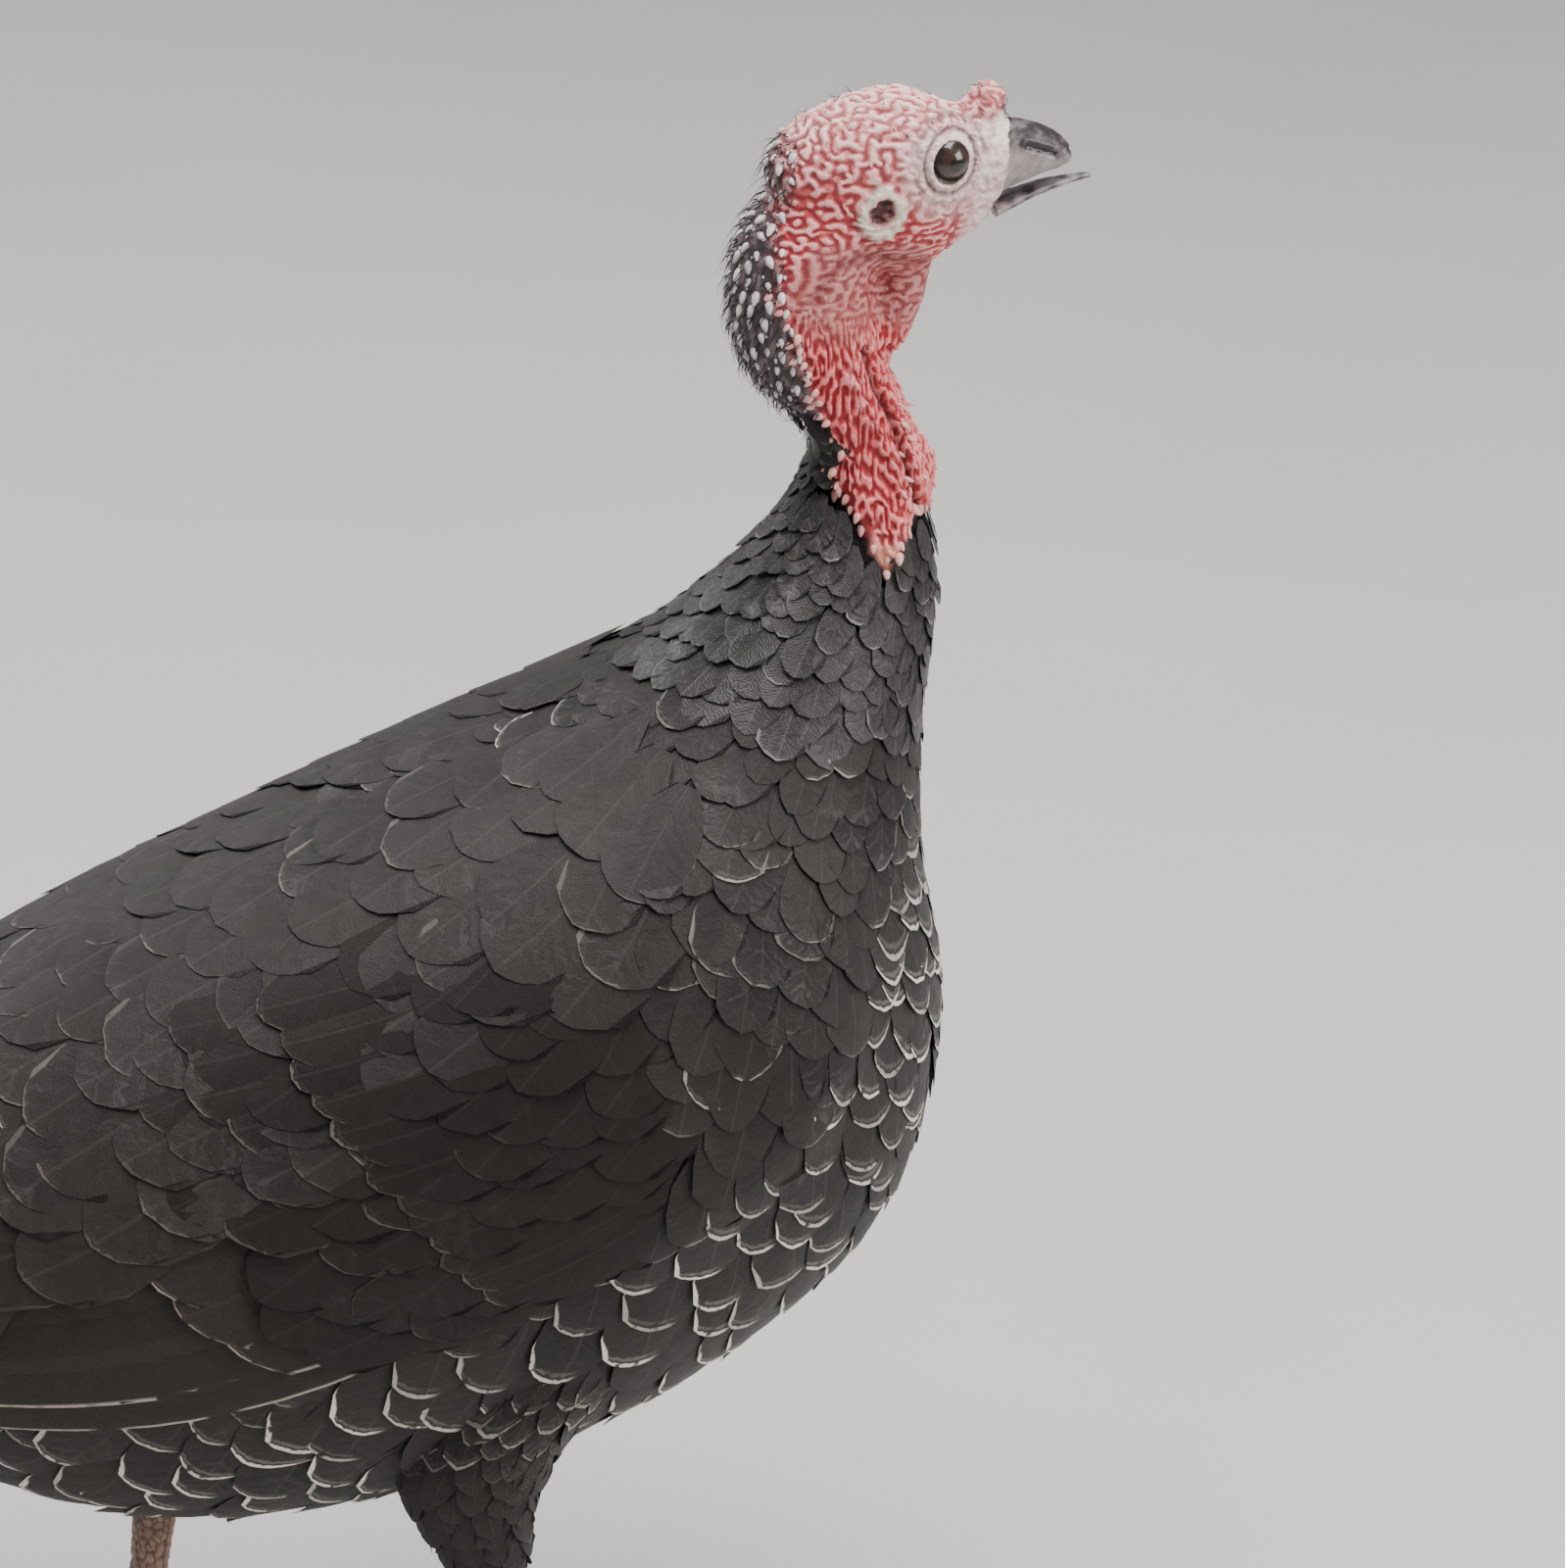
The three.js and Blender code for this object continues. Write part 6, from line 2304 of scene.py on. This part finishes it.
@dataclass
class Feet:
    """Scaled shanks, toes and claws."""

    scute: float = 5.2  # from one broad scale down the front of a shank to the next
    plate: float = 3.3  # from one plate along a toe to the next

    @staticmethod
    def _scaled(piece: Object, out: Array, groove: Array, finish: Material, nodes: Sequence[str]) -> Object:
        """Moves a leg's skin outwards, no lower than the floor, and dresses it."""
        mesh = piece.data
        points, normals = corners_of(mesh)
        shaped = points + normals * out[:, None]
        shaped[:, 2] = np.maximum(shaped[:, 2], 0.0)
        move_corners(mesh, shaped)
        numbered(mesh, "groove", groove)
        smooth_shaded(mesh)
        return finished(piece, finish, Slot.SCALES, nodes)

    def _shank(self, leg: Leg, finish: Material) -> Object:
        """One shank with broad scales in front and small ones behind."""
        piece = shaped_piece("shank_skin_" + leg.name, [rolled(leg.shank, 260, 72)])
        points, _ = corners_of(piece.data)
        hock, foot = np.array(leg.hock), np.array(leg.foot)
        down = (hock[2] - points[:, 2]) / (hock[2] - foot[2])
        centre = hock + down[:, None] * (foot - hock)
        angle = np.arctan2(points[:, 1] - centre[:, 1], points[:, 0] - centre[:, 0])
        front = 1 - ease(np.abs(angle), 0.75, 0.95)
        drop = hock[2] - points[:, 2] + 1.6 * np.cos(angle * 2) + 0.6 * wander(points, 8.0, 111)
        phase = (drop / self.scute) % 1.0
        band = bump(phase, 0.0, 0.2) + bump(phase, 1.0, 0.2)
        first, second, _ = cells(points * (1, 1, 0.8), 3.1, 112)
        net = 1 - ease(second - first, 0.05, 0.22)
        groove = np.clip(front * band + (1 - front) * net + bump(np.abs(angle), 0.85, 0.09) * 0.8, 0, 1)
        scale = front * (0.5 * phase) + (1 - front) * (1 - first) * 0.35
        out = scale - 0.55 * groove + 0.25 * wander(points, 14.0, 113)
        out[(down > 0.985)] *= 0.3
        return self._scaled(piece, out, groove, finish, ("shank_" + leg.name,))

    def _toes(self, leg: Leg, finish: Material) -> Object:
        """All four toes of a foot with their scales, as one piece."""
        shapes = [rolled(lambda u, t, toe=toe: leg.toe(toe, u, t), 130, 40) for toe in leg.TOES]
        ends = np.cumsum([0] + [len(shape.verts) for shape in shapes])
        piece = shaped_piece("toes_" + leg.name, shapes)
        points, normals = corners_of(piece.data)
        groove, out = np.zeros(len(points)), np.zeros(len(points))
        for toe, start, end in zip(leg.TOES, ends[:-1], ends[1:]):
            part = slice(start, end)
            way, _ = leg.way(toe)
            reach = (points[part] - np.array((leg.foot[0], leg.foot[1], 0.0))) @ way
            phase = (reach / self.plate) % 1.0
            top = ease(normals[part][:, 2], -0.1, 0.35)
            band = (bump(phase, 0.0, 0.22) + bump(phase, 1.0, 0.22)) * top
            first, second, _ = cells(points[part], 1.9, 121)
            net = (1 - ease(second - first, 0.05, 0.25)) * (1 - top)
            groove[part] = np.clip(band + net, 0, 1)
            out[part] = 0.3 * phase * top - 0.42 * groove[part] + 0.12 * (1 - top)
        return self._scaled(piece, out, groove, finish, [f"toe_{toe.name}_{leg.name}" for toe in leg.TOES])

    def _claws(self, leg: Leg, finish: Material) -> Object:
        """The four claws of a foot as one piece."""
        shapes = [rolled(lambda u, t, toe=toe: leg.claw(toe, u, t), 24, 20) for toe in leg.TOES]
        piece = shaped_piece("claws_" + leg.name, shapes)
        points, _ = corners_of(piece.data)
        numbered(piece.data, "dark", np.clip(0.6 + 0.5 * wander(points, 4.0, 131), 0, 1))
        smooth_shaded(piece.data)
        return finished(piece, finish, Slot.CLAW, [f"claw_{toe.name}_{leg.name}" for toe in leg.TOES])

    def build(self, effects: Effects) -> list[Object]:
        """Makes and dresses both feet."""
        scales = ScaleFinish().make(effects)
        horn = HornFinish("claw_horn", (0.22, 0.17, 0.14), (0.035, 0.026, 0.022), 0.9, 0.4).make(effects)
        makes = ((self._shank, scales), (self._toes, scales), (self._claws, horn))
        return [make(leg, finish) for leg in LEGS for make, finish in makes]


# ---------------------------------------------------------------- studio


@dataclass
class Studio:
    """A plain pale floor, soft light and the camera."""

    azimuth: float = -12.0
    elevation: float = 27.0
    distance: float = 1.6
    lens: float = 108.0
    aim: tuple[float, float, float] = (-51.3, 9.4, -223.6)  # from the right eye to the middle of the view, in mm

    def camera(self) -> None:
        """Sets up the camera."""
        low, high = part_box("eye_right")
        target = (low + high) / 2 + Vector(self.aim) * MM
        a, e = math.radians(self.azimuth), math.radians(self.elevation)
        back = Vector((math.sin(a) * math.cos(e), -math.cos(a) * math.cos(e), math.sin(e)))
        lens = bpy.data.cameras.new("camera")
        lens.lens = self.lens
        lens.sensor_width = 36.0
        lens.clip_start, lens.clip_end = 0.05, 40.0
        camera = bpy.data.objects.new("camera", lens)
        bpy.context.scene.collection.objects.link(camera)
        camera.location = target + back * self.distance
        camera.rotation_mode = "QUATERNION"
        camera.rotation_quaternion = (-back).to_track_quat("-Z", "Y")
        bpy.context.scene.camera = camera

    def floor(self) -> None:
        """Makes the floor."""
        sheet = bmesh.new()
        bmesh.ops.create_grid(sheet, x_segments=1, y_segments=1, size=40.0)
        floor = added("floor", mesh_of("floor", [sheet]))
        s = Surface("pale_floor")
        cloud = s.grain(3.0, 4.0)
        s.give("Base Color", s.blend(cloud, (0.56, 0.55, 0.53), (0.62, 0.61, 0.59)))
        s.give("Roughness", s.mad(cloud, 0.1, 0.8))
        floor.data.materials.append(s.material)

    def _lamp(self, name: str, place: tuple[float, float, float], size: float, power: float, tint: Colour) -> None:
        """One square soft light that faces the bird."""
        light = bpy.data.lights.new(name, "AREA")
        light.shape, light.size, light.energy, light.color = "SQUARE", size, power, tint
        lamp = bpy.data.objects.new(name, light)
        bpy.context.scene.collection.objects.link(lamp)
        lamp.location = place
        lamp.rotation_mode = "QUATERNION"
        lamp.rotation_quaternion = (Vector((0.05, 0.0, 0.38)) - Vector(place)).to_track_quat("-Z", "Y")

    def lights(self) -> None:
        """Hangs the soft lights and the pale surroundings."""
        self._lamp("sky", (0.25, -0.1, 2.7), 1.9, 108.0, (1.0, 0.99, 0.97))
        self._lamp("window", (2.0, -1.5, 1.5), 1.4, 50.0, (1.0, 0.97, 0.94))
        self._lamp("back", (-1.1, 2.2, 1.7), 1.4, 20.0, (0.95, 0.97, 1.0))
        world = bpy.data.worlds.new("surroundings")
        world.use_nodes = True
        world.node_tree.nodes["Background"].inputs[0].default_value = (0.85, 0.84, 0.83, 1.0)
        world.node_tree.nodes["Background"].inputs[1].default_value = 0.36
        bpy.context.scene.world = world


def main() -> None:
    """Builds the bird and its studio, and reports each piece."""
    logging.basicConfig(level=logging.INFO, format="%(name)s: %(message)s")
    studio = Studio()
    studio.camera()
    studio.floor()
    studio.lights()
    effects = Effects()
    skin = Skin().build(effects)
    Eyes().build(effects)
    Bill().build(effects)
    Whiskers().build(skin, effects)
    Coat().build(effects)
    Wing().build(effects)
    Tail().build(effects)
    Feet().build(effects)


if __name__ == "__main__":
    main()
